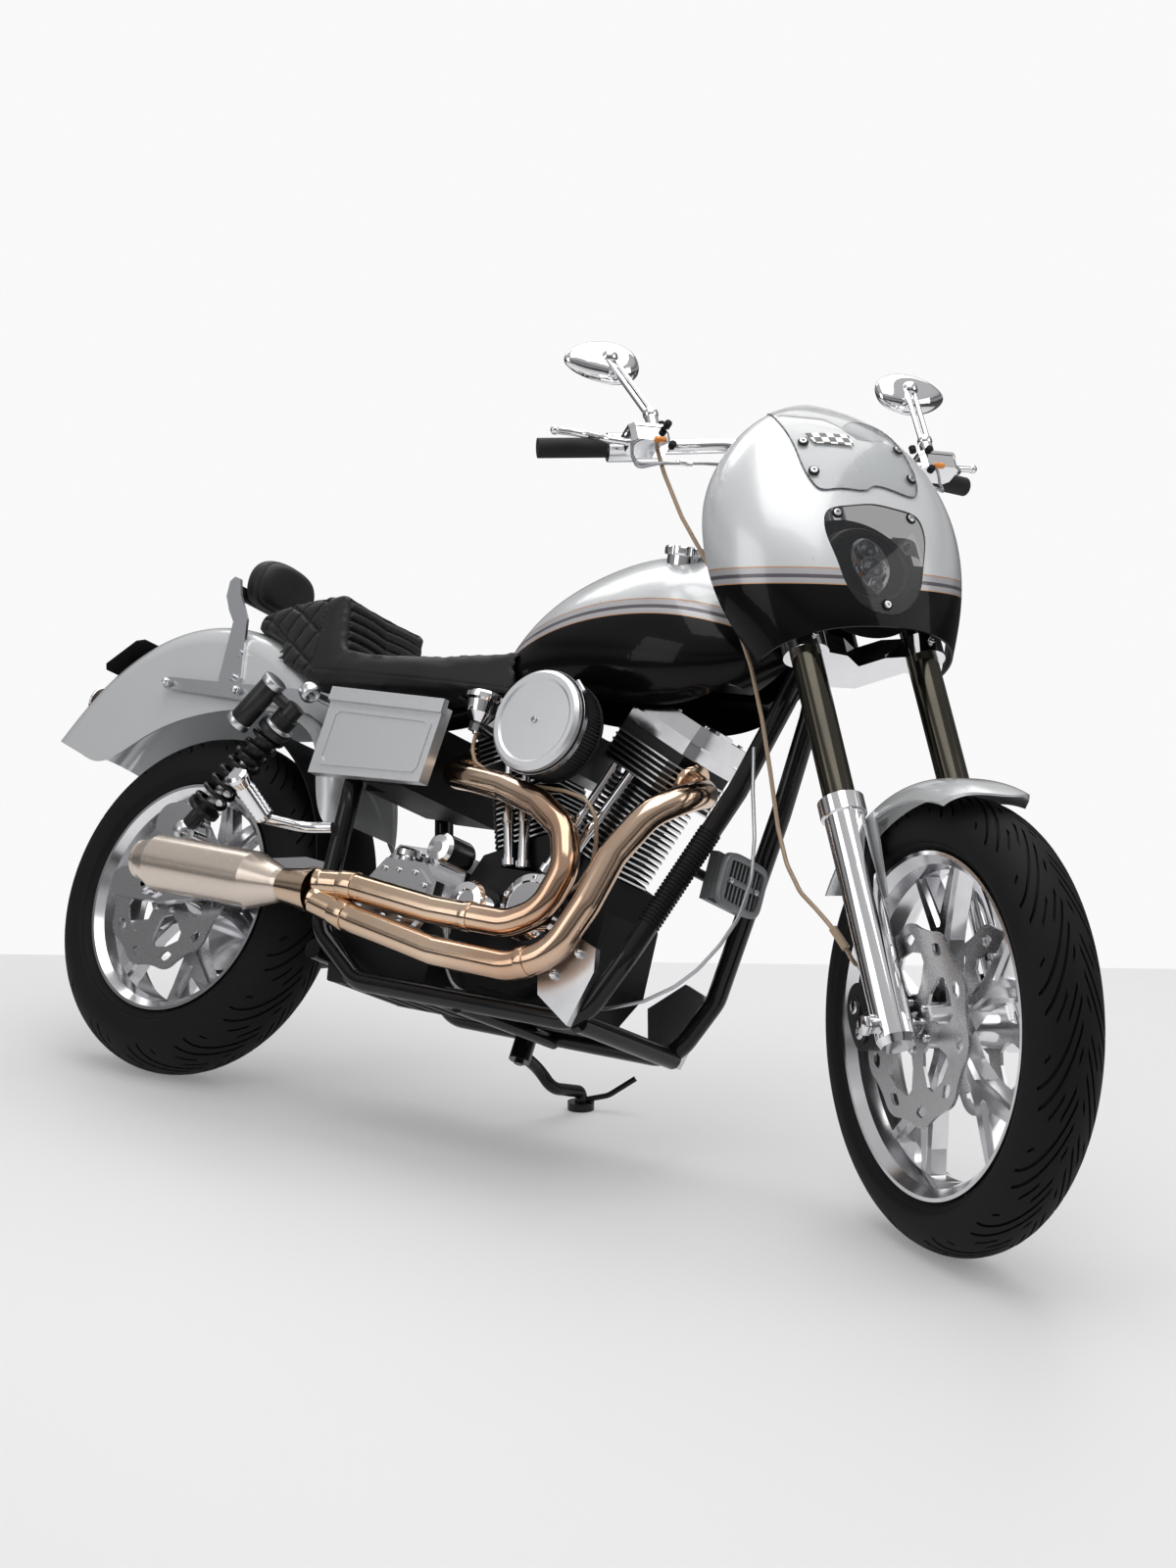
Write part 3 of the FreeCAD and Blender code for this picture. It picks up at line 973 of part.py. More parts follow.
# Rear fender, struts, sissy bar, seat and backrest
FENDER_CREST = [(-430, 588), (-398, 640), (-345, 712), (-262, 786), (-168, 832), (-60, 850), (60, 836),
                (170, 790), (270, 706), (336, 610), (372, 500)]
FENDER_EDGE = [(356, 484), (300, 560), (262, 640), (190, 678), (70, 684), (-60, 660), (-180, 606), (-262, 556),
               (-330, 560)]


def fender_form(inset):
    top = Part.BSplineCurve()
    top.interpolate([Vector(x, 0, z) for x, z in FENDER_CREST])
    low = Part.BSplineCurve()
    low.interpolate([Vector(x, 0, z) for x, z in FENDER_EDGE])
    joins = [Part.LineSegment(top.EndPoint, low.StartPoint).toShape(),
             Part.LineSegment(low.EndPoint, top.StartPoint).toShape()]
    face = Part.Face(Part.Wire([top.toShape(), joins[0], low.toShape(), joins[1]]))
    half = d.fender_half - inset
    face.translate(Vector(0, -half, 0))
    solid = face.extrude(Y_AXIS * 2 * half)
    crest = [edge for edge in solid.Edges if abs(abs(edge.CenterOfMass.y) - half) < 1
             and edge.CenterOfMass.z > 690 - inset and edge.Length > 900]
    return solid, crest


outer, crest = fender_form(0)
outer = outer.makeFillet(42, crest)
inner, crest = fender_form(d.fender_wall)
inner = inner.makeFillet(40, crest)
inner.translate(Vector(0, 0, -d.fender_wall))
hollow = outer.cut(inner)
node("chassis", "rear_fender", shaped("RearFender", hollow))
SEAT_SIDE = [(700, 762), (560, 750), (300, 744), (240, 738), (60, 800), (2, 845), (14, 872), (120, 896),
             (262, 916), (288, 812), (340, 806), (520, 814), (640, 832), (694, 846)]
SEAT_PLAN = [(702, 0.52), (690, 0.82), (560, 0.93), (300, 1.0), (220, 0.98), (70, 0.78), (24, 0.66), (0, 0.4)]
plan = [(x, share * d.seat_half) for x, share in SEAT_PLAN]
plan += [(x, -y) for x, y in reversed(plan)]
seat_blank = doc.addObject("Part::Common", "SeatBlank")
seat_blank.Base = plate("SeatSideForm", SEAT_SIDE, -d.seat_half, d.seat_half)
seat_blank.Tool = plate("SeatPlanForm", plan, 700, 950, "z")
over_fender = fender_form(0)[0]
over_fender.translate(Vector(0, 0, d.clearance))
seat_under_frame = cut("SeatOverFrame", cut("SeatOverRockers", seat_blank, saddle), tunnel_run)
seat_behind_tank = cut("SeatBehindTank", seat_under_frame, shaped("TankRoom", tank_form(1)))
node("chassis", "seat", cut("Seat", seat_behind_tank, shaped("FenderTop", over_fender)))

# Sissy bar: two bent flat uprights with a bridge, and the pad that they carry
upright_in = d.fender_half + d.clearance
uprights = []
for name, side in (("RightUpright", -1), ("LeftUpright", 1)):
    low = upright_in if side > 0 else -upright_in - strap
    uprights.append(plate(name, [(40, 722), (-6, 722), (-14, 736), (-20, 850), (-40, 872), (-58, 900), (-60, 930),
                                 (-50, 940), (-34, 936), (-22, 906), (14, 858), (42, 742)], low, low + strap))
bolts = [rod(f"SissyBolt{index}", (22, side * (upright_in + 1), z), (22, side * (upright_in + strap + 7), z), "7")
         for index, (side, z) in enumerate(((-1, 742), (-1, 790), (1, 742), (1, 790)))]
bridge = block("SissyBridge", (-56, -upright_in - 1, 904), (-50, upright_in + 1, 930))
node("chassis", "sissy_bar", fused("SissyBar", uprights + bolts + [bridge]))
PAD_HALF = [(0, -47), (46, -47), (66, -40), (77, -16), (76, 14), (62, 36), (34, 47), (0, 50)]
pad_rings = []
for x, share in ((-49.6, 0.92), (-38, 1.0), (-14, 1.0), (-2, 0.86), (2, 0.6)):
    half = [Vector(x, y * share, 950 + z * share) for y, z in PAD_HALF]
    pad_rings.append(smooth_ring(half + [Vector(p.x, -p.y, p.z) for p in reversed(half[1:-1])]))
node("chassis", "backrest_pad", shaped("BackrestPad", Part.makeLoft(pad_rings, True, False)))

# Fender struts along the fender's sides, with the shock studs
struts, shock_top, shock_low = [], (296, 708), (84, 428)
for name, side in (("RightStrut", -1), ("LeftStrut", 1)):
    inner_face = strut_inner if side > 0 else -strut_inner - d.strut_thickness
    bar_strut = plate(name + "Bar", [(-150, 718), (-142, 706), (120, 696), (250, 684), (300, 664), (321.7, 672),
                                     (321.7, 706), (306, 722), (250, 728), (-136, 728)], inner_face, inner_face + d.strut_thickness)
    stud_start = (shock_top[0], side * (strut_inner + 2), shock_top[1])
    stud = rod(name + "Stud", stud_start, (shock_top[0], side * (d.shock_half + 15), shock_top[1]), "8")
    struts.append(fused(name, [bar_strut, stud]))
node("chassis", "fender_struts", grouped("FenderStruts", struts))

lamp_body = turned("TailLightBody", [(0, -18), (24, -18), (30, 8), (33, 26), (33, 46), (30, 46), (30, 52), (24, 60), (0, 64)])
lamp_body.Placement = Placement(Vector(-382, 0, 686), Rotation(Y_AXIS, Vector(-1, 0, 0.06)))
fender_room = shaped("FenderRoom", fender_form(-d.clearance)[0])
node("chassis", "tail_light", cut("TailLight", lamp_body, fender_room))
plate_turn = Placement(Vector(-358, 0, 742), Rotation(Y_AXIS, 52))
board_half = [(0, 0), (80, 0), (92, 12), (92, 96), (80, 108), (0, 108)]
board_ring = [Vector(0, y, z) for y, z in board_half] + [Vector(0, -y, z) for y, z in reversed(board_half[1:-1])]
board = shaped("PlateBoard", Part.Face(Part.makePolygon(board_ring + board_ring[:1])).extrude(X_AXIS * 3))
board.Placement = plate_turn
board_arm = block("PlateArm", (0, -30, 20), (30, 30, 60), plate_turn)
board_solid = fused("PlateBlank", [board, board_arm])
node("chassis", "plate_holder", cut("PlateHolder", board_solid, shaped("PlateRoom", fender_form(-d.clearance)[0])))

# Swingarm, rear axle, shock absorbers
arm_front = d.pivot_x - 62
arms = []
for name, side in (("RightArm", -1), ("LeftArm", 1)):
    low = d.arm_half - d.arm_thickness if side > 0 else -d.arm_half
    low_z = rear_height - 26
    arms.append(plate(name, [(-92, low_z), (-108, rear_height - 12), (-108, rear_height + 14), (-92, rear_height + 28),
                             (30, 362), (150, 390), (360, 420), (arm_front, 416), (arm_front, 350), (360, 348),
                             (150, 322), (30, low_z)], low, low + d.arm_thickness))
    arms.append(plate(name + "Lug", [(shock_low[0] - 46, 360), (shock_low[0] - 19, shock_low[1] + 4),
                                     (shock_low[0] - 8, shock_low[1] + 17), (shock_low[0] + 10, shock_low[1] + 16),
                                     (shock_low[0] + 20, shock_low[1] - 4), (shock_low[0] + 44, 372)],
                      *sorted((side * (d.arm_half - 14), side * (d.arm_half - 2)))))
    arms.append(rod(name + "Stud", (shock_low[0], side * (d.arm_half - 6), shock_low[1]),
                    (shock_low[0], side * (d.shock_half + 15), shock_low[1]), "8"))
    near, far = sorted((side * (d.arm_half - 1), side * (d.arm_half + 5)))
    arms.append(plate(name + "Adjuster", [(-100, rear_height - 9), (34, rear_height - 9), (34, rear_height + 9),
                                          (-100, rear_height + 9)], near, far))
arm_cross = rod("ArmCross", (d.pivot_x - 88, -d.arm_half + 4, 386), (d.pivot_x - 88, d.arm_half - 4, 386), "26")
pivot_block = block("PivotBlock", (d.pivot_x - 88, -76, 362), (gear_x - gear_back - d.clearance, 76, 410))
arm_solid = fused("SwingarmBlank", arms + [arm_cross, pivot_block])
axle_hole = rod("AxleHole", (0, -200, rear_height), (0, 200, rear_height), "Sizes.axle_radius + Sizes.running_fit")
node("chassis", "swingarm", cut("Swingarm", arm_solid, axle_hole))
rear_axle_half = d.arm_half + 22
axle_blank = rod("RearAxleBar", (0, -rear_axle_half, rear_height), (0, rear_axle_half, rear_height), "Sizes.axle_radius")
axle_bore = rod("RearAxleBore", (0, -rear_axle_half - 5, rear_height), (0, rear_axle_half + 5, rear_height),
                "Sizes.axle_bore_radius")
node("chassis", "rear_axle", cut("RearAxle", axle_blank, axle_bore))


def shock(name, side):
    y = side * d.shock_half
    top, low = Vector(shock_top[0], y, shock_top[1]), Vector(shock_low[0], y, shock_low[1])
    down = (low - top)
    length = down.Length
    down.normalize()

    def station(share):
        return top + down * (share * length)
    eyes = []
    for label, centre in (("Top", top), ("Low", low)):
        eye = doc.addObject("Part::Cylinder", name + label + "Eye")
        eye.Radius, eye.Height = 19, 26
        eye.Placement = Placement(centre + Vector(0, 13, 0), Rotation(X_AXIS, 90))
        eyes.append(eye)
    spring, core, shaft = d.spring_radius, d.spring_radius - 9, 0.4 * d.spring_radius
    turns, first, last = 7, 0.32 * length, 0.84 * length
    coil = (last - first) / turns
    section = [(0, 0.04 * length), (shaft, 0.04 * length), (shaft, 0.10 * length), (spring - 3, 0.10 * length),
               (spring - 3, 0.29 * length), (spring + 2, 0.29 * length), (spring + 2, first)]
    for turn in range(turns):
        start = first + turn * coil
        section += [(core, start + 0.02 * coil), (spring - 2, start + 0.24 * coil), (spring, start + 0.42 * coil),
                    (spring - 2, start + 0.60 * coil), (core, start + 0.82 * coil)]
    section += [(spring, last), (spring, last + 8), (shaft + 4, last + 14), (shaft, 0.96 * length), (0, 0.96 * length)]
    damper = turned(name + "Damper", section)
    damper.Placement = Placement(top, Rotation(Y_AXIS, down))
    rear_of = Vector(-down.z, 0, down.x) * -1
    aside = rear_of * 46 + Vector(0, side * 36, 0)
    reservoir = turned(name + "Reservoir", [(0, -10), (17, -10), (23, -4), (23, 8), (20, 9), (20, 86), (23, 87),
                                            (23, 100), (17, 106), (0, 106)])
    reservoir.Placement = Placement(station(0.10) + aside, Rotation(Y_AXIS, down))
    bridge_bar = rod(name + "Bridge", station(0.14), station(0.14) + aside, "12")
    solid = fused(name + "Solid", eyes + [damper, reservoir, bridge_bar])
    holes = []
    for label, centre in (("Top", top), ("Low", low)):
        hole = doc.addObject("Part::Cylinder", name + label + "Hole")
        hole.Radius, hole.Height = 8 + d.clearance, 80
        hole.Placement = Placement(centre + Vector(0, 40, 0), Rotation(X_AXIS, 90))
        holes.append(hole)
    return cut(name, solid, fused(name + "Holes", holes))


node("chassis", "shock_absorbers", grouped("ShockAbsorbers", [shock("RightShock", -1), shock("LeftShock", 1)]))

# Electrics box under the seat with its flat cover, horn cup, regulator
box_side = d.rail_half + d.rail_radius + d.clearance
seat_cross_x, seat_cross_radius = 398, d.rail_radius - 3
box_back = block("BatteryBoxBack", (seat_cross_x + seat_cross_radius + d.clearance, -88, 562), (470, 88, 686))
box_front = block("BatteryBoxFront", (464, -box_side, 562), (560, 110, 686))
node("chassis", "battery_box", fused("BatteryBox", [box_back, box_front]))
cover_face = -box_side - 24
cover = plate("SideCoverPanel", [(352, 562), (612, 568), (622, 704), (360, 708)], cover_face, -box_side - d.clearance)
cover_lip = plate("SideCoverLip", [(358, 696), (624, 692), (625, 716), (360, 720)], cover_face - 7, cover_face + 6)
bead_out = [(376, 578), (592, 583), (600, 592), (606, 672), (598, 680), (384, 684), (374, 676), (368, 588)]
bead = plate("SideCoverBead", bead_out, cover_face - 2.5, cover_face + 1)
bead_room = plate("SideCoverBeadRoom", [(488 + (x - 488) * 0.93, 631 + (z - 631) * 0.87) for x, z in bead_out],
                  cover_face - 12, cover_face)
node("chassis", "side_cover", fused("SideCover", [cover, cover_lip, cut("SideCoverRidge", bead, bead_room)]))
horn_radius = 31
horn_cup = turned("HornCup", [(0, -16), (7, -16), (7, 0), (15, 4), (26, 20), (horn_radius - 1, 40), (horn_radius + 4, 44),
                              (horn_radius + 4, 52), (horn_radius - 2, 57), (0, 58)])
head_side = -d.head_fin_size / 2 - d.clearance
horn_cup.Placement = Placement(Vector(652, head_side - horn_radius, 694), Rotation(X_AXIS, 90))
horn_foot = Vector(652, head_side - horn_radius, 694 - 16 - d.clearance)
horn_bracket = block("HornBracket", (640, head_side - horn_radius - 10, 682), (664, head_side, 698))
node("chassis", "horn_cover", fused("HornCover", [horn_cup, horn_bracket]))
regulator_x = 1141 + d.rail_radius / 2 + d.clearance
reg_mid, reg_half, reg_rise = 502, 58, 40
reg_base = block("RegulatorBase", (regulator_x, -reg_half, reg_mid - reg_rise), (regulator_x + 16, reg_half, reg_mid + reg_rise))
fins = [block(f"RegulatorFin{index}", (regulator_x + 14, -reg_half + 3 + 11.2 * index, reg_mid - reg_rise + 4),
              (regulator_x + 34, -reg_half + 7 + 11.2 * index, reg_mid + reg_rise - 4)) for index in range(11)]
regulator_form = fused("RegulatorForm", [reg_base] + fins)
node("chassis", "regulator", regulator_form)

# Rear caliper on its bracket, passenger pegs, peg plates
caliper_mid = -d.rear_hub_half - rotor_shift
caliper_ring = smooth_ring([Vector(x, caliper_mid - 22, rear_height + z) for x, z in (
    (-60, 112), (-20, 100), (22, 108), (34, 132), (22, 158), (-16, 168), (-52, 160), (-66, 136))])
caliper_pads = shaped("RearCaliperPads", Part.Face(caliper_ring).extrude(Y_AXIS * 42))
arm_face = -d.arm_half + d.arm_thickness
caliper_arm = block("RearCaliperArm", (-20, arm_face + d.clearance, rear_height + 14),
                    (20, caliper_mid - 14, rear_height + 120))
caliper_blank = fused("RearCaliperBlank", [caliper_pads, caliper_arm])
caliper_slot = doc.addObject("Part::Cylinder", "RearCaliperSlot")
caliper_slot.Radius, caliper_slot.Height = d.rear_rotor_radius + 3, d.rotor_thickness + 2 * caliper_gap
caliper_slot.Placement = Placement(Vector(0, caliper_mid + caliper_slot.Height.Value / 2, rear_height),
                                   Rotation(X_AXIS, 90))
node("chassis", "rear_caliper", cut("RearCaliper", caliper_blank, caliper_slot))
pegs = []
for name, side in (("RightPassengerPeg", -1), ("LeftPassengerPeg", 1)):
    root = Vector(434, side * (d.rail_half + d.rail_radius + 10 + d.clearance), 472)
    outer_end = Vector(352, side * 246, 456)
    arm = tube(name + "Arm", [root, Vector(386, root.y + side * 16, 462), outer_end], 10, 60)
    reach = Vector(-10, side * 88, 52)
    peg = turned(name + "Peg", [(0, 0), (13, 0), (18, 6), (18, 10)] + [
        (15 if step % 2 else 18, 12 + 9 * ((step + 1) // 2) + 1.5 * (step % 2)) for step in range(14)] + [
        (19, 92), (19, 99), (14, 104), (0, 104)])
    peg.Placement = Placement(outer_end, Rotation(Y_AXIS, reach))
    pegs.append(fused(name, [arm, peg]))
node("chassis", "passenger_pegs", grouped("PassengerPegs", pegs))
peg_plates = []
for name, side in (("RightPegPlate", -1), ("LeftPegPlate", 1)):
    low = side * (d.rail_half + d.rail_radius + 0.3) - (12 if side < 0 else 0)
    peg_plates.append(plate(name, [(1058, 338), (1016, 352), (952, 300), (968, 250), (1040, 210), (1066, 300)],
                            low, low + 12))
node("chassis", "peg_plates", grouped("PegPlates", peg_plates))

# Drive belt: a flat loop just clear of the rear pulley, round the gearbox sprocket
belt_gap = d.clearance
sprocket = Vector(602, 0, 384)
belt_outer = stadium("BeltOutside", (sprocket.x, sprocket.z), 46 + d.belt_thickness, (0, rear_height),
                     d.pulley_radius + belt_gap + d.belt_thickness, pulley_mid - d.pulley_width / 2 + 2,
                     pulley_mid + d.pulley_width / 2 - 2)
belt_inner = stadium("BeltInside", (sprocket.x, sprocket.z), 46, (0, rear_height), d.pulley_radius + belt_gap,
                     pulley_mid - d.pulley_width, pulley_mid + d.pulley_width)
node("chassis", "drive_belt", cut("DriveBelt", belt_outer, belt_inner))

# Breather hose from the horn cup across to the crankcase, clutch cable from the neck under the engine to the gearbox
slope_foot = Vector(d.crank_x + 84, -100, d.crank_height + 85)
slope_out = Vector(50, 0, 48).normalize()
BREATHER_ROUTE = [horn_foot, horn_foot - Vector(0, 0, 26), (674, -122, 626), (732, -134, 606), (821, -147, 592),
                  (900, -150, 589), (948, -148, 580), (970, -140, 555), (974, -128, 520), (966, -112, 484),
                  slope_foot + slope_out * 26, slope_foot + slope_out * d.clearance]
node("chassis", "breather_hose", tube("BreatherHose", BREATHER_ROUTE, d.hose_radius, 40))
neck_side = Vector(1194, -76, 712)
gear_side = Vector(gear_x + 74 + d.clearance, -98, 366)
CLUTCH_ROUTE = [neck_side, (1222, -90, 640), (1256, -102, 560), (1275, -110, 490), (1270, -112, 430), (1249, -112, 383),
                (1219, -112, 339), (1184, -112, 306), (1130, -108, 276), (1060, -100, 256), (980, -98, 241),
                (900, -98, 238), (800, -98, 238), (740, -98, 244), (710, -98, 276), (698, -98, 320), (684, -98, 366),
                gear_side]
node("chassis", "clutch_cable", tube("ClutchCable", CLUTCH_ROUTE, d.hose_radius - 0.5, 60))

# Side stand: bracket under the left rail, leg out to a foot that lies flat on the ground
ground_foot = STANCE.multVec(Vector(748, 367, 0))
FOOT = STANCE.inverse().multVec(Vector(ground_foot.x, ground_foot.y, 0))
foot_height = 14
foot_base = doc.addObject("Part::Cylinder", "StandFootBlank")
bind(foot_base, Radius="Sizes.stand_foot_radius")
foot_base.Height = foot_height
foot_base.Placement = Placement(FOOT, Rotation(Z_AXIS, GROUND_UP))
leg_top = stand_pivot - stand_axis * 20
ankle = FOOT + GROUND_UP * (foot_height - 4)
leg_mid = (leg_top + ankle) * 0.5 + Vector(6, 0, -16)
stand_leg = tube("StandLeg", [leg_top, leg_top + Vector(0, 60, -16), leg_mid, ankle + GROUND_UP * 22, ankle],
                 d.stand_leg_radius, 60)
stand_hub = rod("StandHub", stand_pivot - stand_axis * 34, stand_pivot - stand_axis * 4, "Sizes.stand_leg_radius + 8")
toe = tube("StandToe", [ankle + GROUND_UP * 6, ankle + Vector(40, 20, 26), ankle + Vector(78, 34, 66)], 5, 40)
stand_solid = fused("StandSolid", [foot_base, stand_leg, stand_hub, toe])
stand_hole = rod("StandHole", stand_pivot - stand_axis * 60, stand_pivot + stand_axis * 20,
                 "Sizes.stand_bolt_radius + Sizes.running_fit")
node("side_stand", "side_stand", cut("SideStand", stand_solid, stand_hole))

# Parked stance: every piece goes where the leaning bike has it, the origin under the middle of its box
doc.recompute()
POSES = {"chassis": STANCE, "rear_wheel": STANCE, "side_stand": STANCE}
POSES["steering"] = POSES["front_wheel"] = STANCE.multiply(TURNED).multiply(FORK)
local = {piece.Name: piece.Placement for pieces in NODES.values() for piece in pieces}


def place_all(shift):
    for body, pieces in NODES.items():
        for piece in pieces:
            piece.Placement = Placement(shift, Rotation()).multiply(POSES[body]).multiply(local[piece.Name])


place_all(Vector())
doc.recompute()
whole = FreeCAD.BoundBox()
for pieces in NODES.values():
    for piece in pieces:
        whole.add(piece.Shape.optimalBoundingBox(False, False))
SHIFT = Vector(-whole.Center.x, -whole.Center.y, -whole.ZMin)
place_all(SHIFT)
doc.recompute()

for thing in doc.Objects:
    if "Invalid" in thing.State or "Error" in thing.State:
        raise RuntimeError(f"{thing.Name} failed: {thing.State}")
for body, pieces in NODES.items():
    for piece in pieces:
        if piece.Shape.isNull() or not piece.Shape.isValid() or not piece.Shape.Solids:
            raise RuntimeError(f"{piece.Label} has no valid solid")
        piece.Shape.exportStep(f"parts/{piece.Label}.step")


def shown(vector):
    return [round(value, 5) for value in vector]


def report(what, pose, point, axis):
    print(what, "at", shown((SHIFT + pose.multVec(point)) * 0.001), "axis", shown(pose.Rotation.multVec(axis)))


print("box", shown((whole.XLength, whole.YLength, whole.ZLength)), "dropped by", round(whole.ZMin, 4))
turned_fork = POSES["steering"]
report("joint steering", turned_fork, Vector(), Z_AXIS)
report("joint front_wheel", turned_fork, Vector(*front_hub), Y_AXIS)
report("joint rear_wheel", STANCE, REAR_AXLE, Y_AXIS)
report("joint side_stand", STANCE, stand_pivot, stand_axis)
report("mount rear_axle_bore", STANCE, REAR_AXLE, -Y_AXIS)
outlet = muffler.Placement
report("mount muffler_outlet", Placement(SHIFT, Rotation()).inverse().multiply(outlet), Vector(0, 280, 0), Y_AXIS)
report("mount stand_foot", STANCE, FOOT, -GROUND_UP)
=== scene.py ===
# %% [markdown]
# A twin-cylinder cruiser, parked on its side stand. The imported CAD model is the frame: every node is loaded
# at rest, in metres, and what this lesson adds is placed against it. First the frame, and the box it fills,
# which the finished model must not outgrow.

# %% Load the frame
import json
import math
import bpy
import bmesh
from mathutils import Matrix, Vector
from mathutils.bvhtree import BVHTree


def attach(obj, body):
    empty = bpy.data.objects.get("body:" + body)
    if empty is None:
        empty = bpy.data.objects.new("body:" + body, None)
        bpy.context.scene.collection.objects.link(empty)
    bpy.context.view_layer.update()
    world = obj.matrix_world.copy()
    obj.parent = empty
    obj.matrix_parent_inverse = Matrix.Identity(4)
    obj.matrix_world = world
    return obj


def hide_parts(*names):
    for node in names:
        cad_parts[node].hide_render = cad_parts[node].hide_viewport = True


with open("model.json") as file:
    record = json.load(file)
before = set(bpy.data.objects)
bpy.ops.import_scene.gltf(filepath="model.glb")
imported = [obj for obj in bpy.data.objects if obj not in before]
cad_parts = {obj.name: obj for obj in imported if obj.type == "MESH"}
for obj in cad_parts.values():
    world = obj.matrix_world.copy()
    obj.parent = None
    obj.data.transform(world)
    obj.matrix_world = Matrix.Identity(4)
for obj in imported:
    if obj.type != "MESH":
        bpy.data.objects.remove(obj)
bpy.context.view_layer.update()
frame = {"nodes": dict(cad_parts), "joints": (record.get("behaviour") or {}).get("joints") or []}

nodes = frame["nodes"]
joints = {joint["name"]: joint for joint in frame["joints"]}

# %% [markdown]
# The motorcycle leans and its fork is turned, so nothing on it is square to the room. Two matrices make it
# square again: one for the upright machine (X forward from the rear axle, Y left, Z up from the ground) and
# one for the fork (X forward, Y left, Z up the steering axis). Both follow from the joints' own axes, so they
# stay right if the stance changes.

# %% The machine's own axes and the fork's
RAKE = math.radians(29)
REAR_RADIUS, FRONT_RADIUS = 0.323, 0.338
AHEAD, LEFT, RIGHT, UP = (1, 0, 0), (0, 1, 0), (0, -1, 0), (0, 0, 1)
SIDES = (-1, 1)


def axes_matrix(x, y, z, origin):
    turn = Matrix((x, y, z)).transposed().to_4x4()
    return Matrix.Translation(origin) @ turn


steer_axis, rear_axis, front_axis = (Vector(joints[name]["axis"]).normalized() for name in (
    "steering", "rear_wheel_spin", "front_wheel_spin"))
steer_foot, rear_hub, front_hub = (Vector(joints[name]["pos_m"]) for name in (
    "steering", "rear_wheel_spin", "front_wheel_spin"))
machine_ahead = math.cos(RAKE) * rear_axis.cross(steer_axis) - math.sin(RAKE) * steer_axis
machine_up = machine_ahead.cross(rear_axis)
MACHINE = axes_matrix(machine_ahead, rear_axis, machine_up, rear_hub - REAR_RADIUS * machine_up)
FORK = axes_matrix(front_axis.cross(steer_axis), front_axis, steer_axis, steer_foot)
FRONT_WHEEL = axes_matrix(*FORK.to_3x3().transposed(), front_hub)
REAR_WHEEL = axes_matrix(machine_ahead, rear_axis, machine_up, rear_hub)
TO_MACHINE = MACHINE.inverted()
print("steering axis is square to the rear axle within", round(abs(steer_axis.dot(rear_axis)), 5))
print("fork foot in the machine's axes", [round(v, 4) for v in TO_MACHINE @ FORK.translation])

# %% [markdown]
# The camera stands where the photographer stood: at chest height, ahead of the machine on its right side, with
# a longer lens and a slight tilt down. Its place was measured from the rear axle's spot on the floor, so it is
# set from there too.

# %% Camera
FOCAL_PIXELS, PHOTO_PIXELS, SENSOR_HEIGHT = 2588, 1600, 36
PITCH_DOWN, ROLL = math.radians(8.09), math.radians(0.72)
ground_mark = Vector((rear_hub.x, rear_hub.y, 0))
camera_data = bpy.data.cameras.new("StudioCamera")
camera_data.sensor_fit = "VERTICAL"
camera_data.sensor_height = SENSOR_HEIGHT
camera_data.lens = FOCAL_PIXELS / PHOTO_PIXELS * SENSOR_HEIGHT
camera = bpy.data.objects.new("StudioCamera", camera_data)
bpy.context.scene.collection.objects.link(camera)
level_view = Vector((-0.6201, 0.7846, 0)).normalized()
level_right = Vector((0.7846, 0.6201, 0)).normalized()
view_line = level_view * math.cos(PITCH_DOWN) - Vector(UP) * math.sin(PITCH_DOWN)
view_right = level_right * math.cos(ROLL) + level_right.cross(view_line) * math.sin(ROLL)
camera_place = ground_mark + Vector((3.4727, -3.2242, 1.207))
camera.matrix_world = axes_matrix(view_right, view_right.cross(view_line), -view_line, camera_place)
bpy.context.scene.camera = camera
bpy.context.scene.view_settings.view_transform = "Standard"
bpy.context.scene.view_settings.look = "Medium High Contrast"
print("camera at", [round(v, 3) for v in camera_place], "lens", round(camera_data.lens, 1))

# %% [markdown]
# A white studio: a pale floor under a pale sky, one large soft light overhead, one on each side and one behind.
# Chrome shows only what stands round it, so the world that lights it is not one white: it has dark bands near
# the horizon, and the bright panels leave long clean streaks on the metal. The camera itself sees plain white.

# %% Floor and lights
FLOOR_SIZE, FLOOR_BEHIND = 10.0, 0.95
MIDDLE = Vector((0.1, -0.25, 0.6))


def deselect():
    if bpy.context.object and bpy.context.object.mode != "OBJECT":
        bpy.ops.object.mode_set(mode="OBJECT")
    bpy.ops.object.select_all(action="DESELECT")


deselect()
bpy.ops.mesh.primitive_plane_add(size=FLOOR_SIZE)
floor = bpy.context.object
floor.name = "StudioFloor"
floor_middle = ground_mark + level_view * (FLOOR_BEHIND - FLOOR_SIZE / 2)
floor.matrix_world = axes_matrix(level_right, level_view, Vector(UP), floor_middle)
floor_finish = bpy.data.materials.new("StudioFloor")
floor_finish.use_nodes = True
for label, value in (("Base Color", (0.60, 0.60, 0.61, 1)), ("Roughness", 0.5), ("Emission Color", (1, 1, 1, 1)),
                     ("Emission Strength", 0.20)):
    floor_finish.node_tree.nodes["Principled BSDF"].inputs[label].default_value = value
floor.data.materials.append(floor_finish)


def softbox(name, offset, size, power):
    """Large soft light that looks at the middle of the machine."""
    lamp = bpy.data.lights.new(name, "AREA")
    lamp.shape = "RECTANGLE"
    lamp.size, lamp.size_y = size
    lamp.energy = power
    lamp.color = (1.0, 0.995, 0.985)
    holder = bpy.data.objects.new(name, lamp)
    bpy.context.scene.collection.objects.link(holder)
    holder.location = MIDDLE + offset
    holder.rotation_euler = (-offset).to_track_quat("-Z", "Y").to_euler()


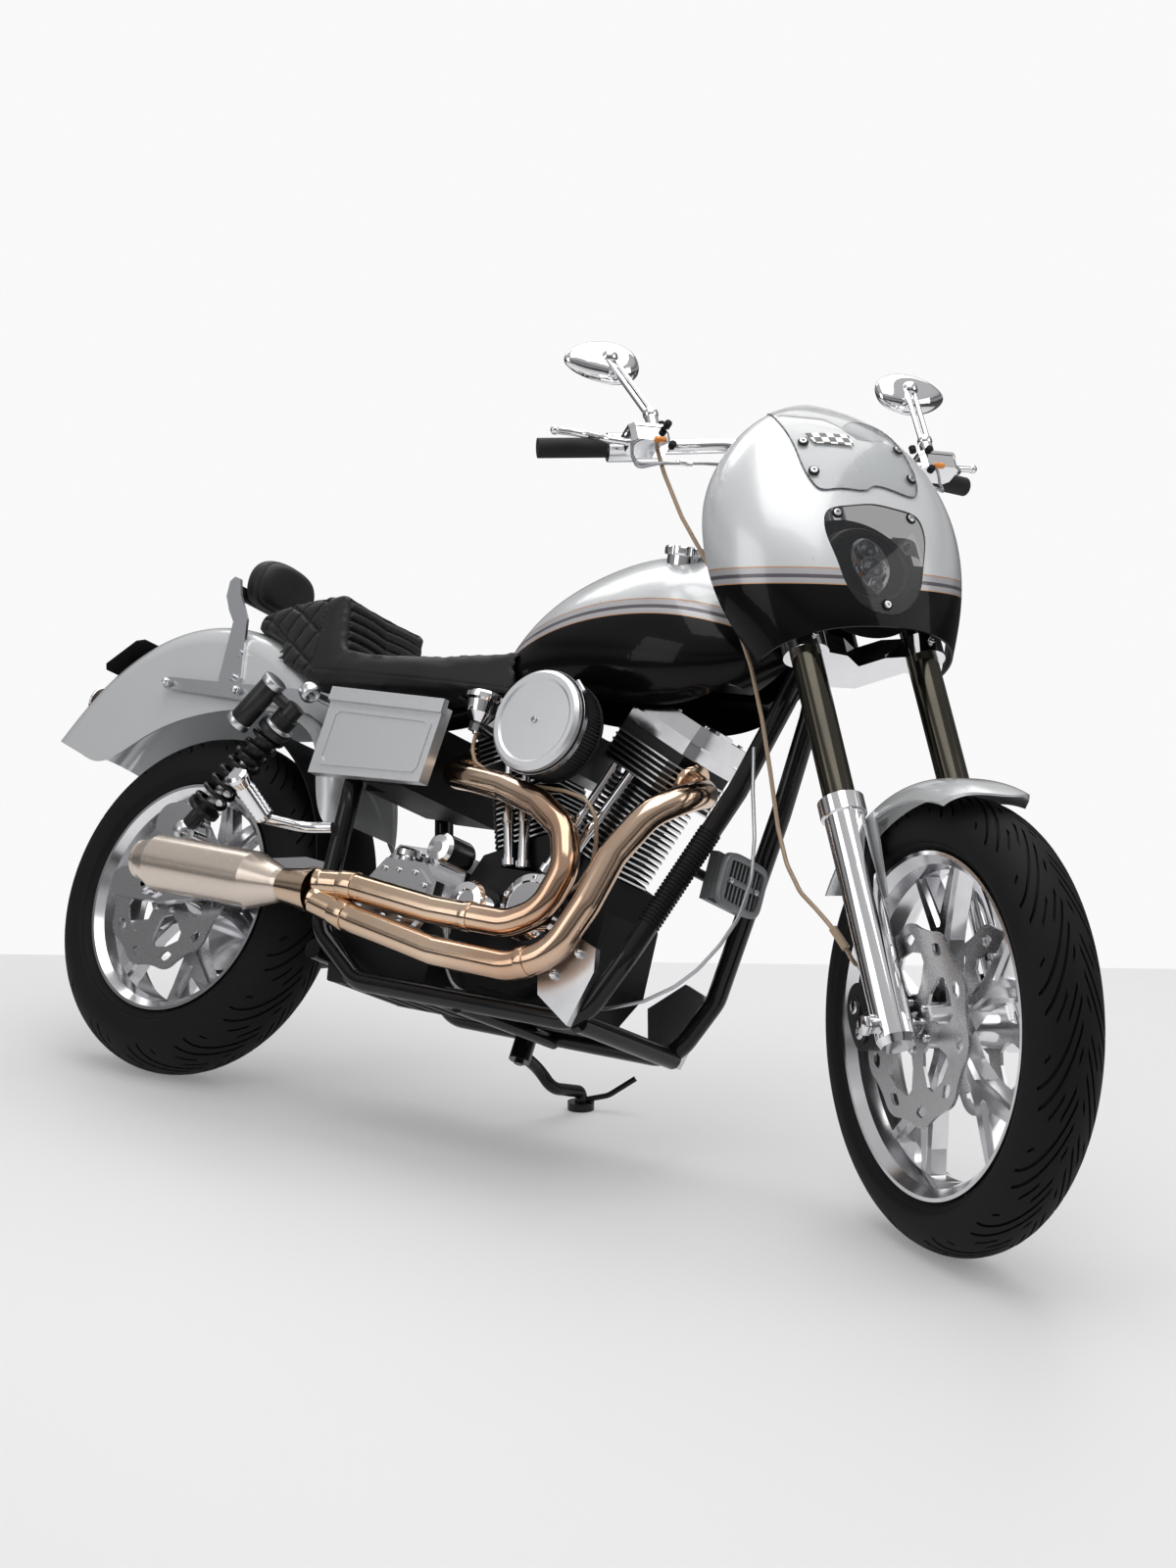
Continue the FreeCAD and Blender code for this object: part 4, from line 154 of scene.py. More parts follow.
softbox("OverheadPanel", Vector((0.2, 0.1, 2.9)), (4.2, 2.6), 54)
softbox("RightPanel", level_right * 3.4 - level_view * 1.2 + Vector((0, 0, 1.6)), (2.4, 2.0), 16)
softbox("LeftPanel", level_right * -3.2 - level_view * 1.8 + Vector((0, 0, 1.5)), (2.0, 2.4), 16)
softbox("BackPanel", level_view * 2.6 + Vector((0, 0, 2.6)), (4.0, 1.2), 26)

world = bpy.data.worlds.new("Studio")
bpy.context.scene.world = world
world.use_nodes = True
sky = world.node_tree
background = sky.nodes["Background"]
direction, split, height, ramp, backdrop, seen, choice = (sky.nodes.new("ShaderNode" + kind) for kind in (
    "TexCoord", "SeparateXYZ", "MapRange", "ValToRGB", "Background", "LightPath", "MixShader"))
height.inputs["From Min"].default_value = -1
ramp.color_ramp.elements[0].color = (0.40, 0.40, 0.41, 1)
ramp.color_ramp.elements[1].color = (1.0, 1.0, 1.0, 1)
for spot, shade in ((0.47, 0.16), (0.53, 0.10), (0.56, 0.45), (0.62, 0.62), (0.66, 0.25), (0.74, 0.85)):
    ramp.color_ramp.elements.new(spot).color = (shade, shade, shade * 1.01, 1)
background.inputs["Strength"].default_value = 0.48
backdrop.inputs["Color"].default_value = (0.80, 0.795, 0.80, 1)
for output, socket in ((direction.outputs["Generated"], split.inputs["Vector"]),
                       (split.outputs["Z"], height.inputs["Value"]),
                       (height.outputs["Result"], ramp.inputs["Fac"]),
                       (ramp.outputs["Color"], background.inputs["Color"]),
                       (seen.outputs["Is Camera Ray"], choice.inputs["Fac"]),
                       (background.outputs["Background"], choice.inputs[1]),
                       (backdrop.outputs["Background"], choice.inputs[2]),
                       (choice.outputs["Shader"], sky.nodes["World Output"].inputs["Surface"])):
    sky.links.new(output, socket)

# %% [markdown]
# Materials. No finish on a real machine is one flat colour: paint has flake and a clear coat, chrome carries
# fingerprints, cast metal is grainy, rubber greys on its high spots. Three small node groups make these
# effects once, two here and one for the paint below. They hand out only colours, numbers and heights; the
# shader itself stays in each material.

# %% Node groups: mottled surface, brushed metal
def new_group(name, inputs, outputs):
    group = bpy.data.node_groups.new(name, "ShaderNodeTree")
    for label, kind, value in inputs:
        socket = group.interface.new_socket(label, in_out="INPUT", socket_type="NodeSocket" + kind)
        if value is not None:
            socket.default_value = value
    for label, kind in outputs:
        group.interface.new_socket(label, in_out="OUTPUT", socket_type="NodeSocket" + kind)
    return group, group.nodes.new("NodeGroupInput").outputs, group.nodes.new("NodeGroupOutput").inputs


def feed(tree, value, socket):
    """Gives a socket a number, a colour or vector of three parts, or the output of another node."""
    if isinstance(value, (int, float)):
        socket.default_value = value
    elif isinstance(value, tuple):
        socket.default_value = (*value, 1) if socket.type == "RGBA" else value
    elif value is not None:
        tree.links.new(value, socket)


def math_node(tree, operation, first, second=None, third=None, clamp=False):
    node = tree.nodes.new("ShaderNodeMath")
    node.operation = operation
    node.use_clamp = clamp
    for socket, value in zip(node.inputs, (first, second, third)):
        feed(tree, value, socket)
    return node.outputs[0]


def vector_node(tree, operation, first, label, second):
    node = tree.nodes.new("ShaderNodeVectorMath")
    node.operation = operation
    feed(tree, first, node.inputs[0])
    feed(tree, second, node.inputs[label])
    return node.outputs


def mix_colours(tree, share, first, second):
    node = tree.nodes.new("ShaderNodeMix")
    node.data_type = "RGBA"
    for label, value in (("Factor", share), ("A", first), ("B", second)):
        feed(tree, value, node.inputs[label])
    return node.outputs["Result"]


def noise(tree, vector, scale, detail=3.0, roughness=0.55):
    node = tree.nodes.new("ShaderNodeTexNoise")
    for label, value in (("Vector", vector), ("Scale", scale), ("Detail", detail), ("Roughness", roughness)):
        feed(tree, value, node.inputs[label])
    return node.outputs["Fac"]


def use_group(tree, name, **values):
    """Group node whose inputs are given by name, with _ for each space."""
    node = tree.nodes.new("ShaderNodeGroup")
    node.node_tree = bpy.data.node_groups[name]
    for label, value in values.items():
        feed(tree, value, node.inputs[label.replace("_", " ")])
    return node.outputs


def wandering_roughness(group, value, given):
    shift = math_node(group, "SUBTRACT", value, 0.5)
    return math_node(group, "MULTIPLY_ADD", shift, given["Roughness Spread"], given["Roughness"], clamp=True)


mottle, given, made = new_group("MottledSurface", (
    ("Coordinates", "Vector", None), ("Colour", "Color", (0.5, 0.5, 0.5, 1)),
    ("Dark Colour", "Color", (0.4, 0.4, 0.4, 1)), ("Patch Scale", "Float", 12.0), ("Grain Scale", "Float", 400.0),
    ("Roughness", "Float", 0.4), ("Roughness Spread", "Float", 0.2)),
    (("Colour", "Color"), ("Roughness", "Float"), ("Height", "Float")))
patches = noise(mottle, given["Coordinates"], given["Patch Scale"], 4.0)
grain = noise(mottle, given["Coordinates"], given["Grain Scale"], 2.0)
strong = math_node(mottle, "MULTIPLY_ADD", patches, 2.6, -0.8, clamp=True)
blend = math_node(mottle, "MULTIPLY_ADD", grain, 0.35, math_node(mottle, "MULTIPLY", strong, 0.65), clamp=True)
feed(mottle, mix_colours(mottle, blend, given["Colour"], given["Dark Colour"]), made["Colour"])
feed(mottle, wandering_roughness(mottle, blend, given), made["Roughness"])
feed(mottle, grain, made["Height"])

brushed, given, made = new_group("BrushedMetal", (
    ("Coordinates", "Vector", None), ("Stretch", "Vector", (1.0, 40.0, 40.0)), ("Scale", "Float", 30.0),
    ("Roughness", "Float", 0.3), ("Roughness Spread", "Float", 0.25)), (("Roughness", "Float"), ("Height", "Float")))
stretched = vector_node(brushed, "MULTIPLY", given["Coordinates"], 1, given["Stretch"])[0]
lines = noise(brushed, stretched, given["Scale"], 5.0, 0.7)
feed(brushed, wandering_roughness(brushed, lines, given), made["Roughness"])
feed(brushed, lines, made["Height"])
print("groups", [group.name for group in bpy.data.node_groups])

# %% [markdown]
# A finish is a material built from the mottled group: two close colours, a roughness that wanders, and a fine
# grain that bumps the surface. What stays the same all over, such as metallic or clear coat, is set on the
# shader itself.

# %% Finishes for plain surfaces
finishes = {}


def start_material(name, metallic=0.0, coat=0.0, sheen=0.0, specular=0.5):
    material = bpy.data.materials.new(name)
    material.use_nodes = True
    tree = material.node_tree
    shader = tree.nodes["Principled BSDF"].inputs
    for label, value in (("Metallic", metallic), ("Coat Weight", coat), ("Coat Roughness", 0.04),
                         ("Sheen Weight", sheen), ("Specular IOR Level", specular)):
        shader[label].default_value = value
    finishes[name] = material
    return tree, shader, tree.nodes.new("ShaderNodeTexCoord").outputs["Object"]


def bump(tree, shader, height, strength, distance):
    node = tree.nodes.new("ShaderNodeBump")
    for label, value in (("Strength", strength), ("Distance", distance), ("Height", height)):
        feed(tree, value, node.inputs[label])
    feed(tree, node.outputs["Normal"], shader["Normal"])


def mottled(name, colour, dark, roughness, spread, patch=12.0, grain=400.0, depth=0.0002, strength=0.3, **kind):
    tree, shader, place = start_material(name, **kind)
    surface = use_group(tree, "MottledSurface", Coordinates=place, Colour=colour, Dark_Colour=dark,
                        Patch_Scale=patch, Grain_Scale=grain, Roughness=roughness, Roughness_Spread=spread)
    feed(tree, surface["Colour"], shader["Base Color"])
    feed(tree, surface["Roughness"], shader["Roughness"])
    if strength:
        bump(tree, shader, surface["Height"], strength, depth)
    return tree, shader, place


mottled("Chrome", (0.90, 0.90, 0.91), (0.80, 0.80, 0.82), 0.06, 0.10, patch=9, strength=0.0, metallic=1.0, grain=240)
mottled("PolishedAlloy", (0.86, 0.86, 0.87), (0.70, 0.70, 0.72), 0.16, 0.14, patch=14, strength=0.05, metallic=1.0)
mottled("CastAlloy", (0.62, 0.62, 0.63), (0.48, 0.48, 0.50), 0.42, 0.16, grain=900, metallic=1.0, strength=0.5)
mottled("SatinAlloy", (0.74, 0.75, 0.77), (0.64, 0.65, 0.67), 0.30, 0.12, grain=700, metallic=1.0, strength=0.12)
mottled("BlackEnamel", (0.008, 0.008, 0.009), (0.016, 0.016, 0.017), 0.22, 0.12, strength=0.05, coat=0.5,
        specular=0.25)
mottled("BlackCasting", (0.010, 0.010, 0.011), (0.026, 0.026, 0.028), 0.45, 0.2, grain=1100, strength=0.5,
        specular=0.3)
mottled("BlackAnodised", (0.018, 0.018, 0.019), (0.05, 0.05, 0.052), 0.32, 0.14, grain=800, strength=0.2)
mottled("BlackPlastic", (0.010, 0.010, 0.011), (0.022, 0.022, 0.023), 0.48, 0.14, grain=1400, strength=0.4,
        specular=0.25)
mottled("GripRubber", (0.014, 0.014, 0.015), (0.035, 0.035, 0.036), 0.66, 0.18, grain=900, strength=0.4)
mottled("BeltRubber", (0.020, 0.020, 0.020), (0.05, 0.05, 0.05), 0.6, 0.2, strength=0.3)
mottled("TyreRubber", (0.010, 0.010, 0.011), (0.020, 0.019, 0.019), 0.66, 0.2, patch=7, grain=700, strength=0.35,
        specular=0.3)
mottled("SaddleLeather", (0.014, 0.014, 0.014), (0.028, 0.028, 0.028), 0.46, 0.2, patch=16, grain=520,
        depth=0.0005, strength=0.55, sheen=0.1)
mottled("DarkTube", (0.105, 0.098, 0.078), (0.075, 0.070, 0.058), 0.14, 0.06, strength=0.0, metallic=0.9)
mottled("GreyCasting", (0.33, 0.34, 0.35), (0.24, 0.245, 0.25), 0.48, 0.15, grain=900, metallic=0.6, strength=0.4)
mottled("FilterCloth", (0.10, 0.10, 0.105), (0.03, 0.03, 0.032), 0.7, 0.2, grain=1600, strength=0.6)
mottled("DarkLens", (0.030, 0.010, 0.010), (0.05, 0.012, 0.012), 0.12, 0.05, strength=0.0, coat=0.6)
mottled("AmberLens", (0.85, 0.33, 0.05), (0.70, 0.24, 0.04), 0.2, 0.1, strength=0.0, coat=0.5)
mottled("RubyLens", (0.36, 0.012, 0.012), (0.24, 0.008, 0.008), 0.12, 0.06, strength=0.0, coat=1.0)
mottled("LensGlass", (0.42, 0.43, 0.47), (0.30, 0.31, 0.36), 0.04, 0.04, strength=0.0, coat=1.0, metallic=0.85)
mottled("TanHose", (0.50, 0.38, 0.27), (0.40, 0.30, 0.21), 0.34, 0.14, grain=900, strength=0.2, coat=0.4)
mottled("CableSheath", (0.62, 0.63, 0.65), (0.40, 0.41, 0.43), 0.30, 0.14, grain=1500, strength=0.5, metallic=0.7,
        coat=0.5)
mottled("BoltSteel", (0.72, 0.72, 0.73), (0.5, 0.5, 0.52), 0.25, 0.15, metallic=1.0, strength=0.1)


def glass(name, colour, roughness, alpha):
    tree, shader, place = mottled(name, colour, tuple(0.9 * c for c in colour), roughness, 0.04, strength=0.0,
                                  coat=0.6)
    shader["Alpha"].default_value = alpha


glass("SmokedGlass", (0.045, 0.047, 0.05), 0.04, 0.42)
glass("ClearGlass", (0.55, 0.57, 0.58), 0.05, 0.22)
glass("EdgeGlass", (0.06, 0.06, 0.10), 0.10, 0.85)
print("finishes so far", len(finishes))

# %% [markdown]
# Brushed metal: the same noise, stretched along one axis of the machine, so that fine lines run lengthwise on
# the covers and the muffler. The rotors are ground evenly.

# %% Brushed finishes
def brushed_finish(name, colour, roughness, spread, stretch, scale, metallic=1.0):
    tree, shader, place = start_material(name, metallic=metallic)
    surface = use_group(tree, "BrushedMetal", Coordinates=place, Stretch=stretch, Scale=scale,
                        Roughness=roughness, Roughness_Spread=spread)
    feed(tree, mix_colours(tree, surface["Height"], tuple(0.86 * c for c in colour), colour), shader["Base Color"])
    feed(tree, surface["Roughness"], shader["Roughness"])
    bump(tree, shader, surface["Height"], 0.08, 0.0001)


brushed_finish("RotorSteel", (0.62, 0.62, 0.63), 0.26, 0.2, (1.0, 1.0, 1.0), 420.0)
brushed_finish("BrushedDisc", (0.82, 0.83, 0.85), 0.34, 0.14, (1.0, 14.0, 14.0), 60.0, metallic=0.75)
brushed_finish("MufflerSteel", (0.78, 0.69, 0.61), 0.24, 0.2, (1.0, 30.0, 30.0), 26.0, metallic=0.8)
brushed_finish("CoverAlloy", (0.78, 0.79, 0.81), 0.34, 0.16, (1.5, 30.0, 30.0), 30.0, metallic=0.6)
print("finishes with the brushed ones", len(finishes))

# %% [markdown]
# The two-tone paint is one finish used by the fairing and the tank: silver with metal flake above, gloss
# black below, and between them a light band with a gold pinstripe at each edge and a grey line in its middle.
# The group takes the height above the band's lower edge, in bands, and hands out the colour and how metallic
# it is. Each piece works out that height in its own axes, because the edge is level on the unturned fork and
# bowed on the tank.

# %% Two-tone paint
SILVER, SILVER_SHADE, BLACK = (0.76, 0.775, 0.785), (0.66, 0.68, 0.69), (0.006, 0.006, 0.007)
GOLD, LIGHT_BAND, GREY_LINE = (0.62, 0.36, 0.20), (0.55, 0.54, 0.56), (0.17, 0.16, 0.18)
BAND_EDGES = ((0.0, GOLD), (0.06, LIGHT_BAND), (0.36, GREY_LINE), (0.58, LIGHT_BAND), (0.93, GOLD), (1.0, SILVER))
PAINT_METALLIC, FLAKE_SCALE = 0.32, 2600.0
PEEL_SPREAD, PEEL_ROUGHNESS = 0.16, 0.22
FAIRING_EDGE, FAIRING_BAND = 0.6945, 0.027
TANK_EDGE, TANK_BAND, TANK_BOW, TANK_MIDDLE = 0.9065, 0.031, 0.54, 1.03
paint_bands, given, made = new_group("TwoToneBands", (("Height in Bands", "Float", 1.5), ("Flake", "Float", 0.5)),
                                     (("Colour", "Color"), ("Metallic", "Float")))
colour = BLACK
for edge, shade in BAND_EDGES:
    above = math_node(paint_bands, "GREATER_THAN", given["Height in Bands"], edge)
    colour = mix_colours(paint_bands, above, colour, shade)
silver_part = math_node(paint_bands, "GREATER_THAN", given["Height in Bands"], 0.0)
flake_shade = math_node(paint_bands, "MULTIPLY_ADD", given["Flake"], 0.5, 0.72)
feed(paint_bands, vector_node(paint_bands, "SCALE", colour, "Scale", flake_shade)[0], made["Colour"])
feed(paint_bands, math_node(paint_bands, "MULTIPLY", silver_part, PAINT_METALLIC), made["Metallic"])


def dot_height(tree, place, direction, origin):
    """Distance of the surface along a direction from a point, in metres."""
    along = vector_node(tree, "DOT_PRODUCT", place, 1, tuple(direction))["Value"]
    return math_node(tree, "SUBTRACT", along, Vector(origin).dot(Vector(direction)))


def striped_paint(name, height_of):
    tree, shader, place = start_material(name, specular=0.12)
    paint = use_group(tree, "TwoToneBands", Height_in_Bands=height_of(tree, place),
                      Flake=noise(tree, place, FLAKE_SCALE, 1.0))
    feed(tree, paint["Colour"], shader["Base Color"])
    feed(tree, paint["Metallic"], shader["Metallic"])
    feed(tree, math_node(tree, "MULTIPLY_ADD", paint["Metallic"], 1.2, 0.34), shader["Coat Weight"])
    feed(tree, math_node(tree, "MULTIPLY_ADD", noise(tree, place, 14.0, 3.0), PEEL_SPREAD, PEEL_ROUGHNESS),
         shader["Roughness"])


def fairing_bands(tree, place):
    level = FORK.to_3x3() @ Vector((math.sin(RAKE), 0, math.cos(RAKE)))
    height = dot_height(tree, place, level, FORK.translation)
    return math_node(tree, "DIVIDE", math_node(tree, "SUBTRACT", height, FAIRING_EDGE), FAIRING_BAND)


def tank_bands(tree, place):
    ahead = math_node(tree, "SUBTRACT", dot_height(tree, place, machine_ahead, MACHINE.translation), TANK_MIDDLE)
    bow = math_node(tree, "MULTIPLY", math_node(tree, "MULTIPLY", ahead, ahead), TANK_BOW)
    height = math_node(tree, "ADD", dot_height(tree, place, machine_up, MACHINE.translation), bow)
    return math_node(tree, "DIVIDE", math_node(tree, "SUBTRACT", height, TANK_EDGE), TANK_BAND)


striped_paint("FairingPaint", fairing_bands)
striped_paint("TankPaint", tank_bands)
tree, shader, place = start_material("SilverPaint", coat=1.0, metallic=PAINT_METALLIC)
flake = math_node(tree, "MULTIPLY_ADD", noise(tree, place, FLAKE_SCALE, 1.0), 0.5, 0.1)
feed(tree, mix_colours(tree, flake, SILVER, SILVER_SHADE), shader["Base Color"])
feed(tree, math_node(tree, "MULTIPLY_ADD", noise(tree, place, 6.0, 3.0), PEEL_SPREAD, PEEL_ROUGHNESS),
     shader["Roughness"])
print("paints", [name for name in finishes if "Paint" in name])

# %% [markdown]
# Heat colours the exhaust: polished steel turns bronze along the pipes, in paler and darker stretches. The
# tint follows the distance along the machine, broken up with noise so that it has no ruled edge.

# %% Heat-tinted steel
tree, shader, place = start_material("HeatTintedSteel", metallic=1.0)
along = dot_height(tree, place, machine_ahead, MACHINE.translation)
wander = math_node(tree, "MULTIPLY_ADD", noise(tree, place, 9.0, 4.0), 0.16, along)
tint = tree.nodes.new("ShaderNodeValToRGB")
feed(tree, math_node(tree, "MULTIPLY_ADD", wander, 1.25, -0.45), tint.inputs["Fac"])
tint.color_ramp.elements[0].color = (0.60, 0.50, 0.41, 1)
tint.color_ramp.elements[1].color = (0.74, 0.56, 0.43, 1)
for spot, shade in ((0.35, (0.66, 0.50, 0.37)), (0.62, (0.80, 0.62, 0.48)), (0.82, (0.62, 0.42, 0.30))):
    tint.color_ramp.elements.new(spot).color = (*shade, 1)
feed(tree, tint.outputs["Color"], shader["Base Color"])
feed(tree, math_node(tree, "MULTIPLY_ADD", noise(tree, place, 40.0, 4.0), 0.14, 0.08), shader["Roughness"])
print("all finishes", len(finishes))

# %% [markdown]
# Every CAD node gets its finish here. The two cylinders get theirs with the engine.

# %% Finishes of the CAD pieces
FINISH_OF = {
    "Chrome": "pushrod_tubes cam_cover primary_cover fuel_cap rear_axle horn_cover passenger_pegs front_axle "
              "fork_sliders fork_yokes handlebar hand_controls mirrors oil_filter",
    "PolishedAlloy": "rocker_covers gearbox swingarm rear_caliper front_rim rear_rim rear_pulley",
    "CastAlloy": "intake", "SatinAlloy": "sissy_bar fender_struts peg_plates", "CoverAlloy": "side_cover",
    "BrushedDisc": "air_filter_cover", "MufflerSteel": "muffler", "HeatTintedSteel": "exhaust_pipes",
    "RotorSteel": "front_rotors rear_rotor", "DarkTube": "stanchions", "GreyCasting": "regulator",
    "BlackEnamel": "frame side_stand", "BlackCasting": "crankcase", "BlackAnodised": "shock_absorbers front_calipers",
    "BlackPlastic": "plate_holder battery_box headlamp", "SilverPaint": "rear_fender front_fender",
    "TankPaint": "fuel_tank", "FairingPaint": "fairing", "FilterCloth": "air_filter",
    "SaddleLeather": "seat backrest_pad", "DarkLens": "tail_light", "SmokedGlass": "lamp_window",
    "ClearGlass": "windscreen", "TyreRubber": "front_tyre rear_tyre", "GripRubber": "grips",
    "BeltRubber": "drive_belt", "TanHose": "brake_hose breather_hose", "CableSheath": "clutch_cable",
}


def dress(name, finish):
    for slot in nodes[name].material_slots:
        slot.material = finishes[finish]


for finish, names in FINISH_OF.items():
    for name in names.split():
        dress(name, finish)
print("nodes without a finish yet:", sorted(set(nodes) - set(" ".join(FINISH_OF.values()).split())))

# %% [markdown]
# The pieces that the CAD model leaves to this lesson are modelled as by hand: a primitive, edit mode, modifiers
# that are applied. These few helpers say how each one starts, how faces are picked by a rule, and how edges
# are rounded and sheets get their wall.

# %% Modelling helpers
def active(piece):
    deselect()
    piece.select_set(True)
    bpy.context.view_layer.objects.active = piece
    return piece


def start(name, kind, stretch=(1, 1, 1), **sizes):
    deselect()
    getattr(bpy.ops.mesh, f"primitive_{kind}_add")(**sizes)
    piece = bpy.context.object
    piece.name = piece.data.name = name
    piece.scale = stretch
    return piece


def pick(piece, kind, wanted):
    """Edit mode, with the faces, edges or verts that the rule wants selected."""
    active(piece)
    bpy.ops.object.mode_set(mode="EDIT")
    bpy.ops.mesh.select_mode(type={"faces": "FACE", "edges": "EDGE", "verts": "VERT"}[kind])
    bpy.ops.mesh.select_all(action="DESELECT")
    form = bmesh.from_edit_mesh(piece.data)
    for part in getattr(form, kind):
        if wanted(part):
            part.select_set(True)
    bmesh.update_edit_mesh(piece.data)


def pick_all(piece, kind="faces"):
    pick(piece, kind, lambda part: True)


def object_mode():
    bpy.ops.object.mode_set(mode="OBJECT")


def draw_out(*way):
    """Extrudes what is picked."""
    bpy.ops.mesh.extrude_region_move(TRANSFORM_OT_translate={"value": way})


def modify(piece, kind, **settings):
    active(piece)
    made = piece.modifiers.new(kind.title(), kind)
    for name, value in settings.items():
        setattr(made, name, value)
    bpy.ops.object.modifier_apply(modifier=made.name)
    return piece


def rounded(piece, width, segments=2, angle=30):
    """Rounds the edges that are sharper than an angle."""
    return modify(piece, "BEVEL", width=width, segments=segments, limit_method="ANGLE",
                  angle_limit=math.radians(angle))


def walled(piece, thickness, offset=1):
    return modify(piece, "SOLIDIFY", thickness=thickness, offset=offset)


# %% [markdown]
# More helpers: how a piece is set in its place, copied, cleaned and joined, and how a finished one is shaded,
# given its finish and set to ride on its body. Its mesh takes the place, and its object stays at the origin.

# %% Placing, copying and handing over
def apply_place(piece, matrix=Matrix()):
    active(piece)
    piece.matrix_world = matrix @ piece.matrix_world
    bpy.context.view_layer.update()
    bpy.ops.object.transform_apply(location=True, rotation=True, scale=True)
    return piece


def moved(*way):
    return Matrix.Translation(way)


def look_along(point, axis):
    """Matrix whose Z is the axis, at a point."""
    return Matrix.Translation(point) @ Vector(axis).normalized().to_track_quat("Z", "Y").to_matrix().to_4x4()


def block(name, size, width, segments=3, place=Matrix()):
    """Box with rounded edges, set in its place."""
    return apply_place(rounded(apply_place(start(name, "cube", size, size=1)), width, segments), place)


def post(name, radius, depth, width, segments=2, sides=32, level=0.0, place=Matrix()):
    """Round bar along Z with rounded rims, set in its place."""
    bar = start(name, "cylinder", vertices=sides, radius=radius, depth=depth, location=(0, 0, level))
    return apply_place(rounded(apply_place(bar), width, segments), place)


def tidy(piece, merge=1e-6):
    pick_all(piece)
    bpy.ops.mesh.remove_doubles(threshold=merge)
    bpy.ops.mesh.normals_make_consistent(inside=False)
    object_mode()
    return piece


def copy_of(piece, name):
    made = piece.copy()
    made.data = piece.data.copy()
    made.name = made.data.name = name
    bpy.context.scene.collection.objects.link(made)
    return made


def merged_node(node, name):
    """A CAD node's mesh as a piece of its own, with its loose triangles merged."""
    made = copy_of(nodes[node], name)
    made.parent = None
    made.matrix_world = Matrix()
    return tidy(made, 1e-5)


def join(name, pieces):
    active(pieces[0])
    for piece in pieces:
        piece.select_set(True)
    if len(pieces) > 1:
        bpy.ops.object.join()
    joined = bpy.context.object
    joined.name = joined.data.name = name
    return joined


def hand_in(piece, matrix, body, finish, smooth=35, stands_for=()):
    """Cleans a modelled piece, sets it on the machine, shades it and lets it ride."""
    apply_place(piece, matrix)
    tidy(piece)
    active(piece)
    bpy.ops.object.shade_smooth_by_angle(angle=math.radians(smooth))
    piece.data.materials.clear()
    piece.data.materials.append(finishes[finish])
    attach(piece, body)
    if stands_for:
        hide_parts(*stands_for)
    print(piece.name, "has", len(piece.data.polygons), "faces and rides on", body)


# %% [markdown]
# Tyres. The CAD tyre is a plain ring with the right section. A real one has a tread: on each half, fifteen
# pairs of long grooves sweep from near the middle to the shoulder, with short cuts between them. One pitch of
# that tread is a grid whose cells are skewed along the grooves, so a groove is simply a column of faces pushed
# in. The pitch is then spun round the wheel. The same section as in CAD is followed to the bead, with the two
# fine rings that a mould leaves on the wall.

# %% Treaded tyres
PITCHES, COLUMNS, GROOVE_DEPTH = 15, 12, 0.0045
PITCH_LENGTH = 2 * math.pi * 0.33 / PITCHES
CROWN_ANGLES = [0, 4, 9, 16, 24, 32, 40, 48, 56, 63, 70, 78, 90]
WALL_STEPS = ((0.18, 0.0), (0.34, -0.0006), (0.44, -0.0018), (0.52, 0.0004), (0.60, -0.0004), (0.74, -0.0012),
              (0.86, 0.0006), (1.0, 0.0))
GROOVE_STEPS = {1: range(1, 9), 4: range(1, 8), 7: (1, 4, 5), 10: (2, 3, 7)}


def tyre_section(outer, section, flange, half):
    """Half of the section as (radius, out) points from the crown to the bead, in metres."""
    centre, bead = outer - section, half - 0.004
    points = [(centre + section * math.cos(math.radians(a)), section * math.sin(math.radians(a)))
              for a in CROWN_ANGLES]
    for share, out in WALL_STEPS:
        bow = 0.10 * section * math.sin(math.pi * share) * (1 - 0.4 * share)
        points.append((centre + (flange + 0.0003 - centre) * share, section + (bead - section) * share + bow + out))
    return points


def groove_sweep(angle):
    """How far round the wheel a groove has run, in pitches, where the crown has turned by an angle."""
    share = min(max(angle / 66.0, 0.0), 1.0)
    return 1.05 * (1 - (1 - share) ** 1.7)


def place_in_pitch(column, side):
    return (column + (0 if side > 0 else COLUMNS // 2)) % COLUMNS


def column_place(column, step, side, section, sweeps):
    """Where a grid column lies in the pitch: a groove keeps its width, square to its own run, as it turns."""
    if not 1 <= step < len(CROWN_ANGLES) - 1:
        return column
    place = place_in_pitch(column, side)
    centre = next((first for first in GROOVE_STEPS if place in (first, first + 1)), None)
    if centre is None:
        return column
    lateral = math.radians(CROWN_ANGLES[step + 1] - CROWN_ANGLES[step - 1]) * section
    slope = (sweeps[step + 1] - sweeps[step - 1]) * PITCH_LENGTH / lateral
    half_width = min((0.0024 if centre < 6 else 0.0017) * math.hypot(1, slope) / (PITCH_LENGTH / COLUMNS), 0.49)
    return column - place + centre + 0.5 + (half_width if place > centre else -half_width)


